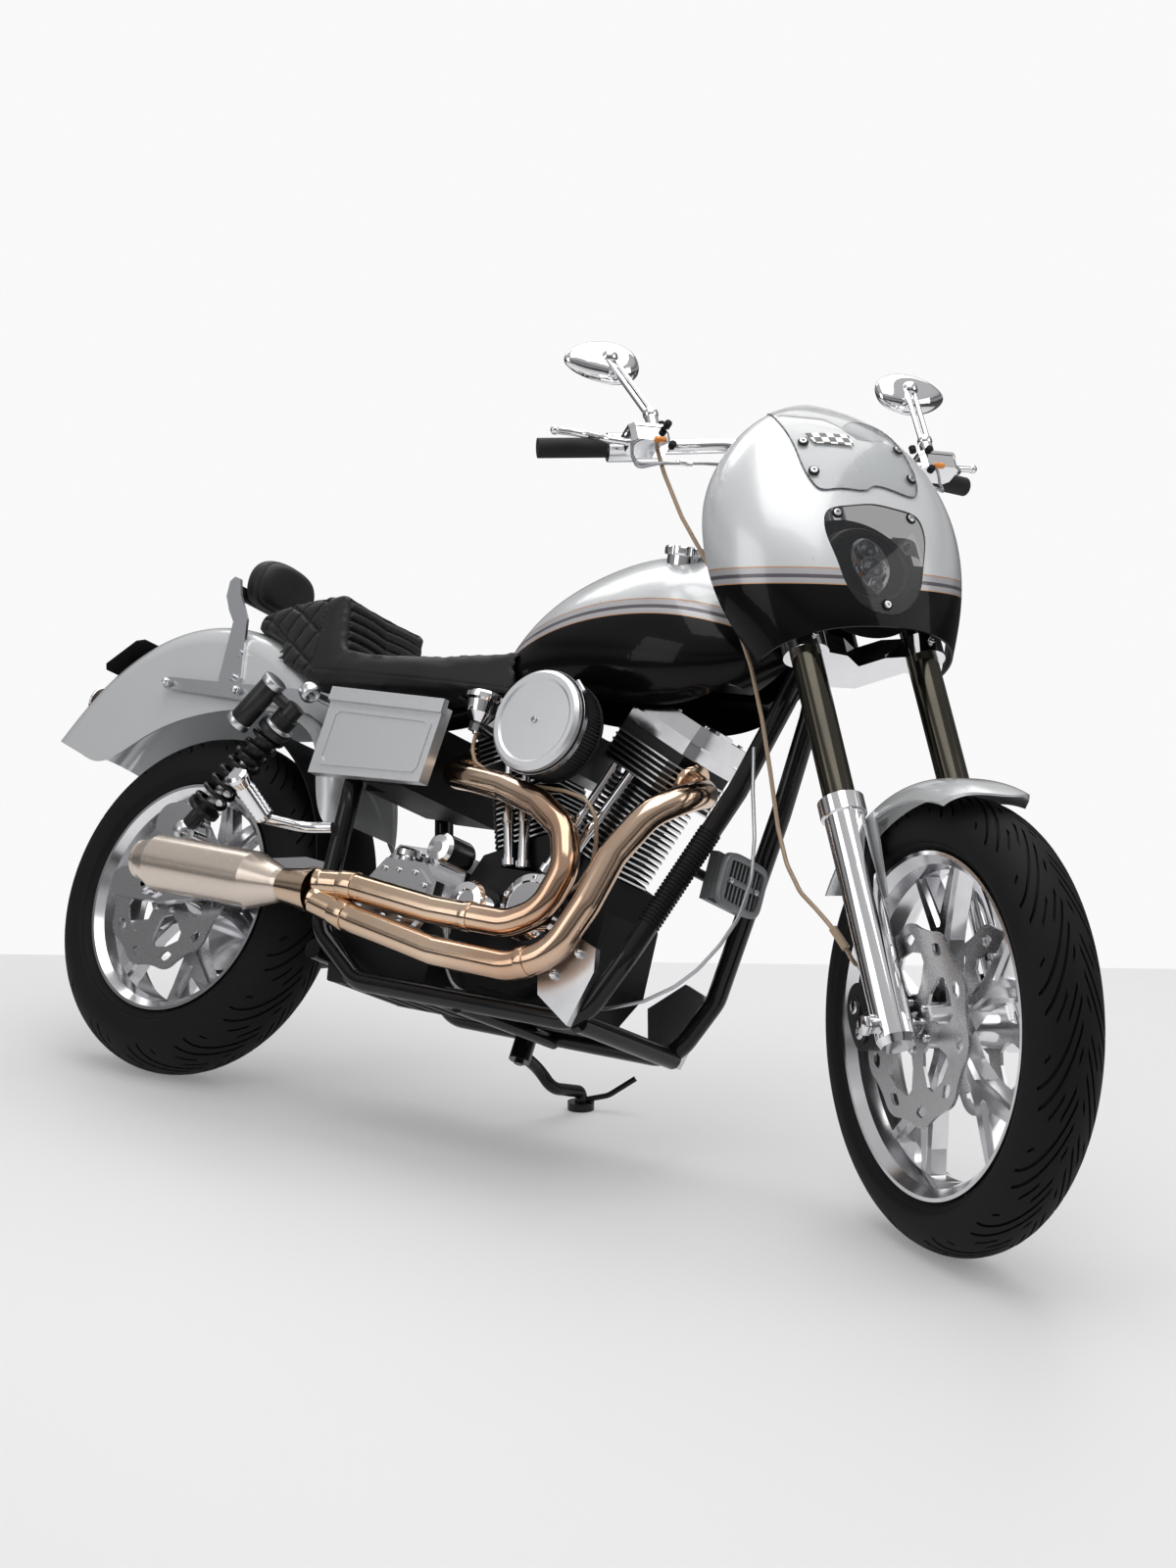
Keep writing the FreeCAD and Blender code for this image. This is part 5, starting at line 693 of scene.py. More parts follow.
def treaded_tyre(name, outer, section, flange, half, matrix, body):
    half_section = tyre_section(outer, section, flange, half)
    sweeps = [groove_sweep(angle) for angle in CROWN_ANGLES]
    rows = [(r, -out, i) for i, (r, out) in reversed(list(enumerate(half_section)))][:-1]
    rows += [(r, out, i) for i, (r, out) in enumerate(half_section)]
    count, middle = len(rows) - 1, len(half_section) - 1
    tyre = start(name, "grid", x_subdivisions=COLUMNS, y_subdivisions=count, size=1)
    cells = {face.index: (int((face.center.x + 0.5) * COLUMNS), int((face.center.y + 0.5) * count))
             for face in tyre.data.polygons}
    for corner in tyre.data.vertices:
        column, row = round((corner.co.x + 0.5) * COLUMNS), round((corner.co.y + 0.5) * count)
        radius, out, step = rows[row]
        side = 1 if row >= middle else -1
        turn = 2 * math.pi / PITCHES * (column_place(column, step, side, section, sweeps) / COLUMNS
                                        + sweeps[min(step, len(sweeps) - 1)])
        corner.co = (radius * math.cos(turn), out, -radius * math.sin(turn))

    def is_groove(face):
        column, row = cells[face.index]
        side, step = (1, row - middle) if row >= middle else (-1, middle - 1 - row)
        return step in GROOVE_STEPS.get(place_in_pitch(column, side), ())

    first = tyre.data.polygons[0]
    faces_out = first.normal.dot(Vector((first.center.x, 0, first.center.z))) > 0
    pick_all(tyre)
    if faces_out:
        bpy.ops.mesh.flip_normals()
    object_mode()
    pick(tyre, "faces", is_groove)
    bpy.ops.mesh.extrude_region_shrink_fatten(TRANSFORM_OT_shrink_fatten={"value": -GROOVE_DEPTH})
    object_mode()
    pick_all(tyre)
    bpy.ops.mesh.spin(steps=PITCHES - 1, dupli=True, angle=2 * math.pi * (PITCHES - 1) / PITCHES,
                      center=(0, 0, 0), axis=LEFT)
    object_mode()
    tidy(tyre, 2e-5)
    hand_in(tyre, matrix, body, "TyreRubber", 40, (body.split("_")[0] + "_tyre",))


treaded_tyre("FrontTyre", FRONT_RADIUS, 0.058, 0.256, 0.046, FRONT_WHEEL, "front_wheel")
treaded_tyre("RearTyre", REAR_RADIUS, 0.075, 0.217, 0.062, REAR_WHEEL, "rear_wheel")

# %% [markdown]
# The seat is foam under stitched leather. Its CAD solid is the right size, so its mesh is where this starts: a
# copy is remeshed into even quads, blown up a little as cloth, which rounds the edges and crowns the flats, and
# held to a few millimetres so that it doesn't leave its place. Then it is smoothed and made finer.

# %% Padded copies of the CAD solids
CLOTH_MOMENTS = 20
CLOTH = {"use_pressure": True, "quality": 5, "mass": 0.3, "tension_stiffness": 15, "compression_stiffness": 15}


def padded_copy(name, node, voxel, pressure, cap):
    pad = merged_node(node, name)
    modify(pad, "REMESH", mode="VOXEL", voxel_size=voxel)
    modify(pad, "SMOOTH", factor=0.5, iterations=6)
    before = [corner.co.copy() for corner in pad.data.vertices]
    cloth = pad.modifiers.new("Cloth", "CLOTH")
    for label, value in CLOTH.items():
        setattr(cloth.settings, label, value)
    cloth.settings.uniform_pressure_force = pressure
    cloth.settings.effector_weights.gravity = 0
    cloth.point_cache.frame_start, cloth.point_cache.frame_end = 1, CLOTH_MOMENTS
    for moment in range(1, CLOTH_MOMENTS + 1):
        bpy.context.scene.frame_set(moment)
    active(pad)
    bpy.ops.object.modifier_apply(modifier=cloth.name)
    bpy.context.scene.frame_set(1)
    for corner, place in zip(pad.data.vertices, before):
        way = corner.co - place
        if way.length > cap:
            corner.co = place + way * (cap / way.length)
    modify(pad, "SMOOTH", factor=0.5, iterations=8)
    modify(pad, "SUBSURF", levels=1, render_levels=1)
    print(name, "remeshed to", len(pad.data.vertices), "points")
    return pad


seat = padded_copy("Saddle", "seat", 0.0056, 1.2, 0.003)
backrest = padded_copy("BackrestPad", "backrest_pad", 0.004, 2.0, 0.004)

# %% [markdown]
# Now the stitching: diamond quilting on the tail, channels across the step and the rider's part, and a seam
# round each panel. Each stitched line is a narrow valley in the surface, and the leather between two lines
# stands a little proud.

# %% Stitching
TAIL_END, TAIL_SEAM, STEP_END, STEP_FOOT, RIDER_START = 0.222, 0.227, 0.33, 0.812, 0.30
DIAMOND, STEP_CHANNEL, RIDER_CHANNEL = 0.062, 0.0185, 0.030


def valley(distance, width, depth):
    return -depth * math.exp(-(distance / width) ** 2)


def channel(line, width, depth, proud, rise):
    """Valley along a stitched line, and beside it the leather that stands proud."""
    return valley(line, width, depth) + proud * (1 - math.exp(-line / rise))


def from_line(value, spacing):
    """Distance to the nearest of evenly spaced lines."""
    return abs((value / spacing + 0.5) % 1 - 0.5) * spacing


def seat_stitching(place, normal):
    """How far the leather stands out at a place in the machine's own axes, in metres."""
    x, y, z = place
    if normal.z < -0.35:
        return 0.0
    wrap = abs(y) + max(0.0, 0.86 + 0.29 * (x + 0.06) - z) * (1.0 if abs(normal.y) > 0.5 else 0.0)
    if x < TAIL_END:
        line = min(from_line(x + wrap, DIAMOND), from_line(x - wrap, DIAMOND)) / math.sqrt(2)
        return channel(line, 0.0028, 0.0055, 0.0022, 0.009)
    if x < TAIL_SEAM + 0.005:
        return valley(abs(x - TAIL_SEAM), 0.003, 0.004)
    if normal.x > 0.45 and x < STEP_END and z > STEP_FOOT:
        if abs(y) < 0.100:
            return channel(from_line(z - 0.004 * math.sin(abs(y) * 26), STEP_CHANNEL), 0.0026, 0.006, 0.002, 0.004)
        return valley(abs(abs(y) - 0.101), 0.0022, 0.003)
    if x > RIDER_START and normal.z > 0.6:
        half = 0.092 if x < 0.56 else 0.092 - 0.25 * (x - 0.56)
        if abs(y) < half:
            return channel(from_line(x, RIDER_CHANNEL), 0.0026, 0.005, 0.002, 0.007)
        return valley(abs(abs(y) - half - 0.002), 0.0022, 0.0035)
    return valley(abs(z - 0.768), 0.002, 0.0012) if abs(normal.y) > 0.6 else 0.0


def backrest_stitching(place, normal):
    return valley(abs(place.x + 0.012), 0.0022, 0.003) if abs(normal.x) < 0.75 else 0.0


def stitch(pad, rule):
    turn = TO_MACHINE.to_3x3()
    pad.data.update()
    moves = [corner.normal * rule(TO_MACHINE @ corner.co, turn @ corner.normal) for corner in pad.data.vertices]
    for corner, move in zip(pad.data.vertices, moves):
        corner.co += move


for pad, rule, node, fill in ((seat, seat_stitching, "seat", 0.85),
                              (backrest, backrest_stitching, "backrest_pad", 0.9)):
    stitch(pad, rule)
    hand_in(pad, Matrix(), "chassis", "SaddleLeather", 60, (node,))

# %% [markdown]
# The engine is open to view, so it gets the finest touches. The fins are black castings whose edges are
# machined bright: a mask on the distance from each cylinder's axis finds those edges, so no fin is painted by
# hand. The axes of the two cylinders come from the crank and the angle of the V.

# %% Machined fin edges
CRANK = (0.838, 0, 0.345)
BANK_ANGLE = math.radians(22.5)
HEAD_FOOT, FIN_EDGE, FIN_CORNER = 0.330, 0.0008, 0.022
BARREL_FIN, HEAD_FIN = (0.070, 0.063), (0.083, 0.083)


def bank_matrix(side):
    return moved(*CRANK) @ Matrix.Rotation(side * BANK_ANGLE, 4, "Y")


def outline_distance(tree, across, aside, half_length, half_width):
    """How far a point lies inside the eight-sided outline of a fin, as a negative number."""
    far = math_node(tree, "ABSOLUTE", across)
    wide = math_node(tree, "ABSOLUTE", aside)
    straight = math_node(tree, "MAXIMUM", math_node(tree, "SUBTRACT", far, half_length),
                         math_node(tree, "SUBTRACT", wide, half_width))
    sloped = math_node(tree, "SUBTRACT", math_node(tree, "ADD", far, wide), half_length + half_width - FIN_CORNER)
    return math_node(tree, "MAXIMUM", straight, sloped)


def finned_casting(name, side):
    tree, shader, place = mottled(name, (0.012, 0.012, 0.013), (0.030, 0.030, 0.031), 0.5, 0.2, grain=1100,
                                  strength=0.5)
    bank = MACHINE @ bank_matrix(side)
    across, aside, along = (dot_height(tree, place, bank.to_3x3() @ Vector(unit), bank.translation)
                            for unit in (AHEAD, LEFT, UP))
    on_head = math_node(tree, "GREATER_THAN", along, HEAD_FOOT)
    on_barrel = math_node(tree, "SUBTRACT", 1.0, on_head)
    edge = math_node(tree, "ADD", *(math_node(tree, "MULTIPLY", outline_distance(tree, across, aside, *fin), part)
                                    for fin, part in ((HEAD_FIN, on_head), (BARREL_FIN, on_barrel))))
    bright = math_node(tree, "GREATER_THAN", edge, -FIN_EDGE)
    painted, rough = (shader[label].links[0].from_socket for label in ("Base Color", "Roughness"))
    feed(tree, mix_colours(tree, bright, painted, (0.70, 0.70, 0.71)), shader["Base Color"])
    feed(tree, bright, shader["Metallic"])
    feed(tree, math_node(tree, "MULTIPLY_ADD", bright, -0.25, rough), shader["Roughness"])


for label, side in (("Front", 1), ("Rear", -1)):
    finned_casting("Finned" + label, side)
    dress(label.lower() + "_cylinder", "Finned" + label)
print("finishes with the castings", len(finishes))

# %% [markdown]
# The filter element is pleated cloth in a drum. A cylinder of many sides gets every second edge pulled in, and
# a rubber ring closes it at each end. It stands for the plain drum of the CAD model.

# %% Pleated air filter
PLEATS, FILTER_RADIUS, FILTER_DEPTH, FILTER_RING = 84, 0.088, 0.062, 0.007
FILTER = MACHINE @ look_along((0.844, -0.1283 - FILTER_DEPTH / 2, 0.690), RIGHT)
pleats = start("FilterPleats", "cylinder", vertices=2 * PLEATS, radius=FILTER_RADIUS - 0.001,
               depth=FILTER_DEPTH - 0.012)


def in_valley(vert):
    return round(math.atan2(vert.co.y, vert.co.x) / math.pi * PLEATS) % 2 == 1


pick(pleats, "verts", in_valley)
bpy.ops.transform.resize(value=(0.93, 0.93, 1), center_override=(0, 0, 0))
object_mode()
rounded(pleats, 0.0004, 1)
hand_in(pleats, FILTER, "chassis", "FilterCloth", 50, ("air_filter",))
rings = [post(f"FilterRing{end}", FILTER_RADIUS, FILTER_RING, 0.002, 3, 72, end * (FILTER_DEPTH - FILTER_RING) / 2)
         for end in (-1, 1)]
hand_in(join("FilterRings", rings), FILTER, "chassis", "GripRubber")

# %% [markdown]
# Screws and nuts. One cap screw and one hexagon nut are modelled, each with a rounded edge, and the screw with
# its six-sided socket. They are then set out on the machine by point and direction, in millimetres on the
# machine's own axes.

# %% Cap screws and nuts on the engine
def cap_screw(name, radius, height):
    head = post(name, radius, height, 0.16 * radius, 3, 24, height / 2)
    socket = start(name + "Socket", "cylinder", vertices=6, radius=0.5 * radius, depth=height,
                   location=(0, 0, 0.95 * height))
    apply_place(socket)
    modify(head, "BOOLEAN", object=socket, solver="EXACT")
    bpy.data.objects.remove(socket)
    return head


def hex_nut(name, radius, height, dome=False):
    nut = post(name, radius, height, 0.12 * radius, 2, 6, height / 2)
    if not dome:
        return nut
    cap = start(name + "Dome", "uv_sphere", segments=20, ring_count=10, radius=0.78 * radius,
                location=(0, 0, height))
    return join(name, [nut, apply_place(cap)])


def scatter(name, pattern, spots, matrix, body, finish):
    """Copies a small piece to points in millimetres, each turned to its direction, and joins the copies."""
    copies = [apply_place(copy_of(pattern, f"{name}{index}"), look_along(0.001 * Vector(point), direction))
              for index, (point, direction) in enumerate(spots)]
    bpy.data.objects.remove(pattern)
    hand_in(join(name, copies), matrix, body, finish)


def ring_spots(centre, radius, count, direction, start_angle=0.0):
    """Points evenly round a centre in the side plane, in millimetres."""
    angles = [start_angle + 2 * math.pi * step / count for step in range(count)]
    return [((centre[0] + radius * math.cos(angle), centre[1], centre[2] + radius * math.sin(angle)), direction)
            for angle in angles]


def bank_spot(side, across, aside, along):
    """Point and upward direction on a cylinder's own axes, from millimetres."""
    bank = bank_matrix(side)
    return 1000 * (bank @ (0.001 * Vector((across, aside, along)))), bank.to_3x3() @ Vector(UP)


GEAR_SCREWS = ((532, 340), (568, 340), (606, 340), (640, 346), (642, 402), (616, 422), (578, 422), (546, 422),
               (528, 396), (528, 364))
PRIMARY_SCREWS = ((520, 330), (540, 440), (660, 466), (760, 442), (900, 402), (906, 300), (780, 262), (660, 268))
screws = [bank_spot(side, across, aside, 458.4) for side in (1, -1) for across in (-68, 0, 68) for aside in (-52, 52)]
screws += ring_spots((872, -128.6, 393), 51, 5, RIGHT, 0.3)
screws += ring_spots((602, 155, 372), 51, 6, LEFT) + ring_spots((838, 155, 345), 35, 4, LEFT, 0.6)
screws += [((x, -129.8, z), RIGHT) for x, z in GEAR_SCREWS] + [((x, 147.8, z), LEFT) for x, z in PRIMARY_SCREWS]
scatter("EngineScrews", cap_screw("CapScrew", 0.0048, 0.0045), screws, MACHINE, "chassis", "Chrome")
nuts = [((x, side * aside, z), (0, side, 0)) for x, aside, z in (
    (1030, 166.2, 326), (992, 166.2, 286), (-130, 120.2, 716), (60, 120.2, 713)) for side in SIDES]
scatter("ChassisNuts", hex_nut("ChassisNut", 0.0085, 0.006, dome=True), nuts, MACHINE, "chassis", "Chrome")

# %% [markdown]
# The exhaust is bent tube, so it is made as a bender makes it: a round end is drawn out straight to where a
# bend begins and then spun about that bend's centre. The routes are those of the CAD pipes. Joint rings, the
# flanges at the ports and the long cone of the collector come after. It stands for the CAD exhaust.

# %% Bent tube
def bent_tube(name, route, radius, bend, sides=32, steps=10):
    """Tube along straight runs, with each corner spun about its own centre."""
    route = [Vector(point) for point in route]
    tube = start(name, "circle", vertices=sides, radius=radius)
    apply_place(tube, look_along(route[0], route[1] - route[0]))
    pick_all(tube, "edges")
    here = route[0]
    for before, corner, after in zip(route, route[1:], route[2:]):
        way_in, way_out = (corner - before).normalized(), (after - corner).normalized()
        turn = way_in.angle(way_out)
        if turn < 0.01:
            continue
        cut = min(bend * math.tan(turn / 2), 0.48 * min((corner - before).length, (after - corner).length))
        axis = way_in.cross(way_out).normalized()
        begin = corner - cut * way_in
        if (begin - here).length > 1e-5:
            draw_out(*(begin - here))
        bpy.ops.mesh.spin(steps=max(3, round(steps * turn)), angle=-turn, axis=axis, dupli=False,
                          center=begin + axis.cross(way_in) * (cut / math.tan(turn / 2)))
        here = corner + cut * way_out
    draw_out(*(route[-1] - here))
    object_mode()
    return tube


def port(side, out):
    """Point ahead of a head's exhaust face, on the machine's own axes."""
    return bank_matrix(side) @ Vector((side * (0.0833 + out), -0.034, 0.368))


PIPE_RADIUS, COLLECTOR = 0.024, Vector((0.494, -0.224, 0.348))
REARWARD = Vector((-1, -0.045, 0.01)).normalized()
FRONT_ROUTE = [port(1, 0), port(1, 0.044), (1.120, -0.104, 0.616), (1.086, -0.156, 0.568), (1.052, -0.178, 0.488),
               (1.036, -0.192, 0.400), (1.004, -0.202, 0.310), (0.930, -0.207, 0.280), (0.771, -0.210, 0.284),
               (0.591, -0.214, 0.312), (0.490, -0.224, 0.334)]
REAR_ROUTE = [port(-1, 0), port(-1, 0.034), (0.606, -0.096, 0.606), (0.680, -0.120, 0.598), (0.768, -0.138, 0.586),
              (0.868, -0.160, 0.560), (0.940, -0.172, 0.520), (0.968, -0.178, 0.456), (0.948, -0.184, 0.380),
              (0.890, -0.190, 0.350), (0.737, -0.200, 0.352), (0.561, -0.212, 0.368), (0.490, -0.224, 0.362)]
front_pipe = bent_tube("FrontPipe", FRONT_ROUTE, PIPE_RADIUS, 0.090)
rear_pipe = bent_tube("RearPipe", REAR_ROUTE, PIPE_RADIUS, 0.070)
print("pipes have", len(front_pipe.data.polygons), "and", len(rear_pipe.data.polygons), "faces")

# %% [markdown]
# On each pipe sit a flange at the port, a joint ring halfway and a slip sleeve where it enters the collector.

# %% Exhaust joints and collector
RINGS = (("FrontFlange", port(1, 0.006), port(1, 1) - port(1, 0), 0.012, 0.012, 0.0012),
         ("RearFlange", port(-1, 0.006), port(-1, 1) - port(-1, 0), 0.012, 0.012, 0.0012),
         ("FrontJoint", (0.957, -0.2055, 0.2915), (74, 5, 30), 0.0018, 0.016, 0.0008),
         ("RearJoint", (0.814, -0.1952, 0.3511), (1, 0.06, 0), 0.0018, 0.016, 0.0008),
         ("FrontSlip", (0.560, -0.2170, 0.3176), (-1, -0.06, 0.2), 0.0018, 0.030, 0.0008),
         ("RearSlip", (0.556, -0.2127, 0.3677), (-1, -0.12, 0), 0.0018, 0.030, 0.0008))
pieces = [front_pipe, rear_pipe]
pieces += [post(name, PIPE_RADIUS + proud, length, lip, 3, 40, place=look_along(middle, toward))
           for name, middle, toward, proud, length, lip in RINGS]
cone = start("CollectorCone", "cone", vertices=48, radius1=0.039, radius2=0.030, depth=0.070, end_fill_type="NOTHING")
pieces.append(apply_place(cone, look_along(COLLECTOR + 0.035 * REARWARD, REARWARD)))
for label, drop in (("Front", 0.336), ("Rear", 0.362)):
    shoulder = start(label + "Shoulder", "uv_sphere", (1.5, 1, 1), segments=32, ring_count=16,
                     radius=PIPE_RADIUS + 0.003)
    pieces.append(apply_place(shoulder, moved(0.488, -0.223, drop)))
hand_in(join("ExhaustPipes", pieces), MACHINE, "chassis", "HeatTintedSteel", 50, ("exhaust_pipes",))

# %% [markdown]
# Low between the frame rails hangs the oil pan: a black casting with ribs along its floor, under the gearbox.
# It starts as a block whose lower edge is drawn in, then its floor is inset and each second strip is pushed up,
# and the edges are rounded last.

# %% Oil pan
PAN_SIZE, PAN_MIDDLE, RIB_START, RIB_STEP, RIB_HEIGHT = (0.242, 0.224, 0.108), (0.562, 0, 0.271), 0.46, 0.2 / 9, 0.006
pan = apply_place(start("OilPan", "cube", PAN_SIZE, size=1), moved(*PAN_MIDDLE))
pick(pan, "faces", lambda face: face.normal.z < -0.9)
bpy.ops.transform.resize(value=(0.90, 0.86, 1), center_override=(0.562, 0, 0.217))
bpy.ops.mesh.inset(thickness=0.008)
object_mode()
pick(pan, "faces", lambda face: face.normal.z < -0.9 and face.calc_area() > 0.01)
bpy.ops.mesh.subdivide(number_cuts=8)
object_mode()
floor_level = min(corner.co.z for corner in pan.data.vertices)


def in_rib_gap(face):
    middle = face.calc_center_median()
    on_floor = face.normal.z < -0.9 and abs(middle.z - floor_level) < 1e-4
    return on_floor and math.floor((middle.x - RIB_START) / RIB_STEP) % 2 == 1


pick(pan, "faces", in_rib_gap)
draw_out(0, 0, RIB_HEIGHT)
object_mode()
hand_in(rounded(pan, 0.0025, angle=40), MACHINE, "chassis", "BlackCasting")

# %% [markdown]
# Ahead of the rear tyre a black inner guard keeps spray off the battery. It is a thin plate bent round the
# wheel's centre: a narrow strip is spun through the arc, and its edges are rounded.

# %% Inner guard
guard = apply_place(start("InnerGuard", "plane", (0.004, 0.168, 1), size=1), moved(0.3545, 0, 0))
pick_all(guard)
bpy.ops.mesh.spin(steps=28, angle=math.radians(66), center=(0, 0, 0), axis=LEFT, dupli=False)
object_mode()
apply_place(guard, moved(0, 0, REAR_RADIUS) @ Matrix.Rotation(math.radians(-6), 4, "Y"))
hand_in(rounded(tidy(guard), 0.0012), MACHINE, "chassis", "BlackPlastic")

# %% [markdown]
# The regulator's fins stand in a rounded frame with a bar across its middle. The frame is a rounded outline
# that is inset, opened and given its depth.

# %% Regulator frame
REGULATOR = MACHINE @ axes_matrix(LEFT, UP, AHEAD, (1.1765, 0, 0.502))
HALF_WIDE, HALF_HIGH, SQUARENESS = 0.063, 0.045, 0.42
border = apply_place(start("RegulatorFrame", "circle", vertices=72, radius=1, fill_type="NGON"))
for corner in border.data.vertices:
    angle = math.atan2(corner.co.y, corner.co.x)
    wide, high = (math.copysign(abs(share) ** SQUARENESS, share) for share in (math.cos(angle), math.sin(angle)))
    corner.co = (HALF_WIDE * wide, HALF_HIGH * high, 0)
pick_all(border)
bpy.ops.mesh.inset(thickness=0.012)
bpy.ops.mesh.delete(type="FACE")
object_mode()
rounded(walled(border, 0.013), 0.0022, 3, 50)
bar = block("RegulatorBar", (0.106, 0.010, 0.010), 0.002, place=moved(0, 0, 0.006))
hand_in(join("RegulatorFrame", [border, bar]), REGULATOR, "chassis", "GreyCasting")
scatter("RegulatorScrews", cap_screw("RegulatorScrew", 0.0052, 0.003),
        [((1187.2, side * 38, 502), AHEAD) for side in SIDES], MACHINE, "chassis", "BoltSteel")

# %% [markdown]
# The filter gets its centre screw and the band that clamps it, and the right down tube the ribbed sleeve of a
# cable duct: one ring, set out evenly along the tube.

# %% Filter clamp and ribbed sleeve
SLEEVE_TOP, SLEEVE_FOOT, RIBS = Vector((1158, -85, 564)), Vector((1114, -122, 398)), 28
clamp = walled(start("FilterClamp", "cylinder", vertices=84, radius=0.0893, depth=0.009, end_fill_type="NOTHING"),
               0.0012)
housing = post("ClampScrew", 0.0048, 0.026, 0.001, 2, 20, place=look_along((0.062, 0.068, 0), (-0.068, 0.062, 0)))
hand_in(join("FilterClamp", [clamp, housing]), FILTER @ moved(0, 0, FILTER_DEPTH / 2 - 0.007), "chassis",
        "BoltSteel")
scatter("FilterScrew", cap_screw("CentreScrew", 0.0056, 0.0035), [((844, -202.2, 690), RIGHT)], MACHINE, "chassis",
        "BoltSteel")
sleeve_run = (SLEEVE_FOOT - SLEEVE_TOP) / (RIBS - 1)
scatter("RibbedSleeve", post("SleeveRib", 0.0192, 0.0042, 0.0011),
        [(SLEEVE_TOP + sleeve_run * index, sleeve_run) for index in range(RIBS)], MACHINE, "chassis",
        "BlackPlastic")

# %% [markdown]
# Pieces that sit on a curved skin are found by a ray: it runs along the fork's own axis onto the CAD surface
# and brings back the point and the surface's direction there. So every screw lies flat on the fairing.

# %% Screws on the fairing and the screen
SCREEN_SCREWS = ((-86, 968), (-88, 902), (86, 968), (88, 902))
WINDOW_SCREWS = ((-66, 822), (66, 822), (0, 672))
graph = bpy.context.evaluated_depsgraph_get()
skins = {name: BVHTree.FromObject(nodes[name], graph) for name in ("fairing", "windscreen", "lamp_window")}


def on_skin(name, aside, height):
    """Point and outward direction, in the fork's axes, where the skin lies ahead of a point (millimetres)."""
    hit, normal, _, _ = skins[name].ray_cast(FORK @ Vector((0.35, 0.001 * aside, 0.001 * height)),
                                             FORK.to_3x3() @ Vector((-1, 0, 0)))
    if hit is None:
        return None
    back = FORK.inverted()
    facing = back.to_3x3() @ normal
    return 1000 * (back @ hit), -facing if facing.x < 0 else facing


skin_spots = [on_skin("windscreen", *at) for at in SCREEN_SCREWS]
skin_spots += [on_skin("lamp_window", *at) for at in WINDOW_SCREWS]
scatter("FairingWashers", post("Washer", 0.0092, 0.0018, 0.0005, level=0.0006), skin_spots, FORK, "steering",
        "BlackPlastic")
scatter("FairingScrews", cap_screw("FairingScrew", 0.0062, 0.0042), skin_spots, FORK, "steering", "BoltSteel")

# %% [markdown]
# The headlamp behind the smoked window: a dark bezel, behind it a black tray, in the bezel a bright plate shaped
# like a leaf, and on the plate three round lenses one over the other, each in a ring, with amber strips at
# their sides. All of it is modelled in the lamp's own axes, with Z pointing out of the lamp.

# %% Headlamp insert
LAMP = FORK @ look_along((0.1372, 0, 0.760), AHEAD)
BEZEL_RADIUS, TRAY_RADIUS = 0.068, 0.112
LEAF_TOP, LEAF_FOOT, LEAF_WIDTH = 0.048, 0.058, 0.033
LENSES = (("Upper", 0.0155, 0.026), ("Middle", 0.0185, -0.010), ("Lower", 0.0105, -0.041))


def sunk_disc(disc, rim, depth, wall):
    """A flat disc gets a rim, its middle is set back or forward, and all of it gets a wall."""
    pick_all(disc)
    bpy.ops.mesh.inset(thickness=rim)
    draw_out(0, 0, depth)
    object_mode()
    return walled(disc, wall)


bezel = start("LampBezel", "torus", major_segments=72, minor_segments=16, major_radius=BEZEL_RADIUS,
              minor_radius=0.0055)
pick(bezel, "verts", lambda vert: vert.co.z > 0.003)
bpy.ops.transform.resize(value=(0.97, 0.97, 1.4), center_override=(0, 0, 0))
object_mode()
hand_in(bezel, LAMP, "steering", "BlackAnodised")
tray = start("LampTray", "circle", vertices=64, radius=TRAY_RADIUS, fill_type="NGON", location=(0, 0, -0.034))
hand_in(sunk_disc(apply_place(tray), 0.028, 0.010, 0.002), LAMP, "steering", "BlackPlastic")
leaf = apply_place(start("LampLeaf", "circle", vertices=64, radius=1, fill_type="NGON"))
for corner in leaf.data.vertices:
    across, up = corner.co.x, corner.co.y
    width = LEAF_WIDTH * (1 - 0.55 * max(0.0, -up) ** 2)
    corner.co = (across * width, (LEAF_TOP if up > 0 else LEAF_FOOT) * up, 0)
hand_in(sunk_disc(leaf, 0.0022, -0.0035, 0.004), LAMP @ moved(0, 0, 0.0065), "steering", "Chrome", 30)
lenses = [apply_place(start(label + "Lens", "uv_sphere", (1, 1, 0.55), segments=40, ring_count=20, radius=radius,
                            location=(0, up, 0.009))) for label, radius, up in LENSES]
trims = [apply_place(start(label + "Ring", "torus", (1, 1, 1.6), major_segments=56, minor_segments=12,
                           major_radius=radius + 0.0012, minor_radius=0.0017, location=(0, up, 0.0115)))
         for label, radius, up in LENSES]
strips = [block(f"AmberStrip{side}{lean}", (0.004, 0.011, 0.004), 0.0012, 2, moved(0, -0.010, 0.009)
                @ Matrix.Rotation(-side * lean, 4, "Z") @ moved(side * 0.0245, 0, 0))
          for side in SIDES for lean in (-0.5, 0.5)]
hand_in(join("LampLenses", lenses), LAMP, "steering", "LensGlass")
hand_in(join("LampTrims", trims), LAMP, "steering", "Chrome")
hand_in(join("AmberStrips", strips), LAMP, "steering", "AmberLens")

# %% [markdown]
# On the screen lies a strip with a checked face, an old racing pattern. It is a fine grid whose points are set
# down on the screen's skin by the same ray, and its squares are a checker texture in the fork's own axes.

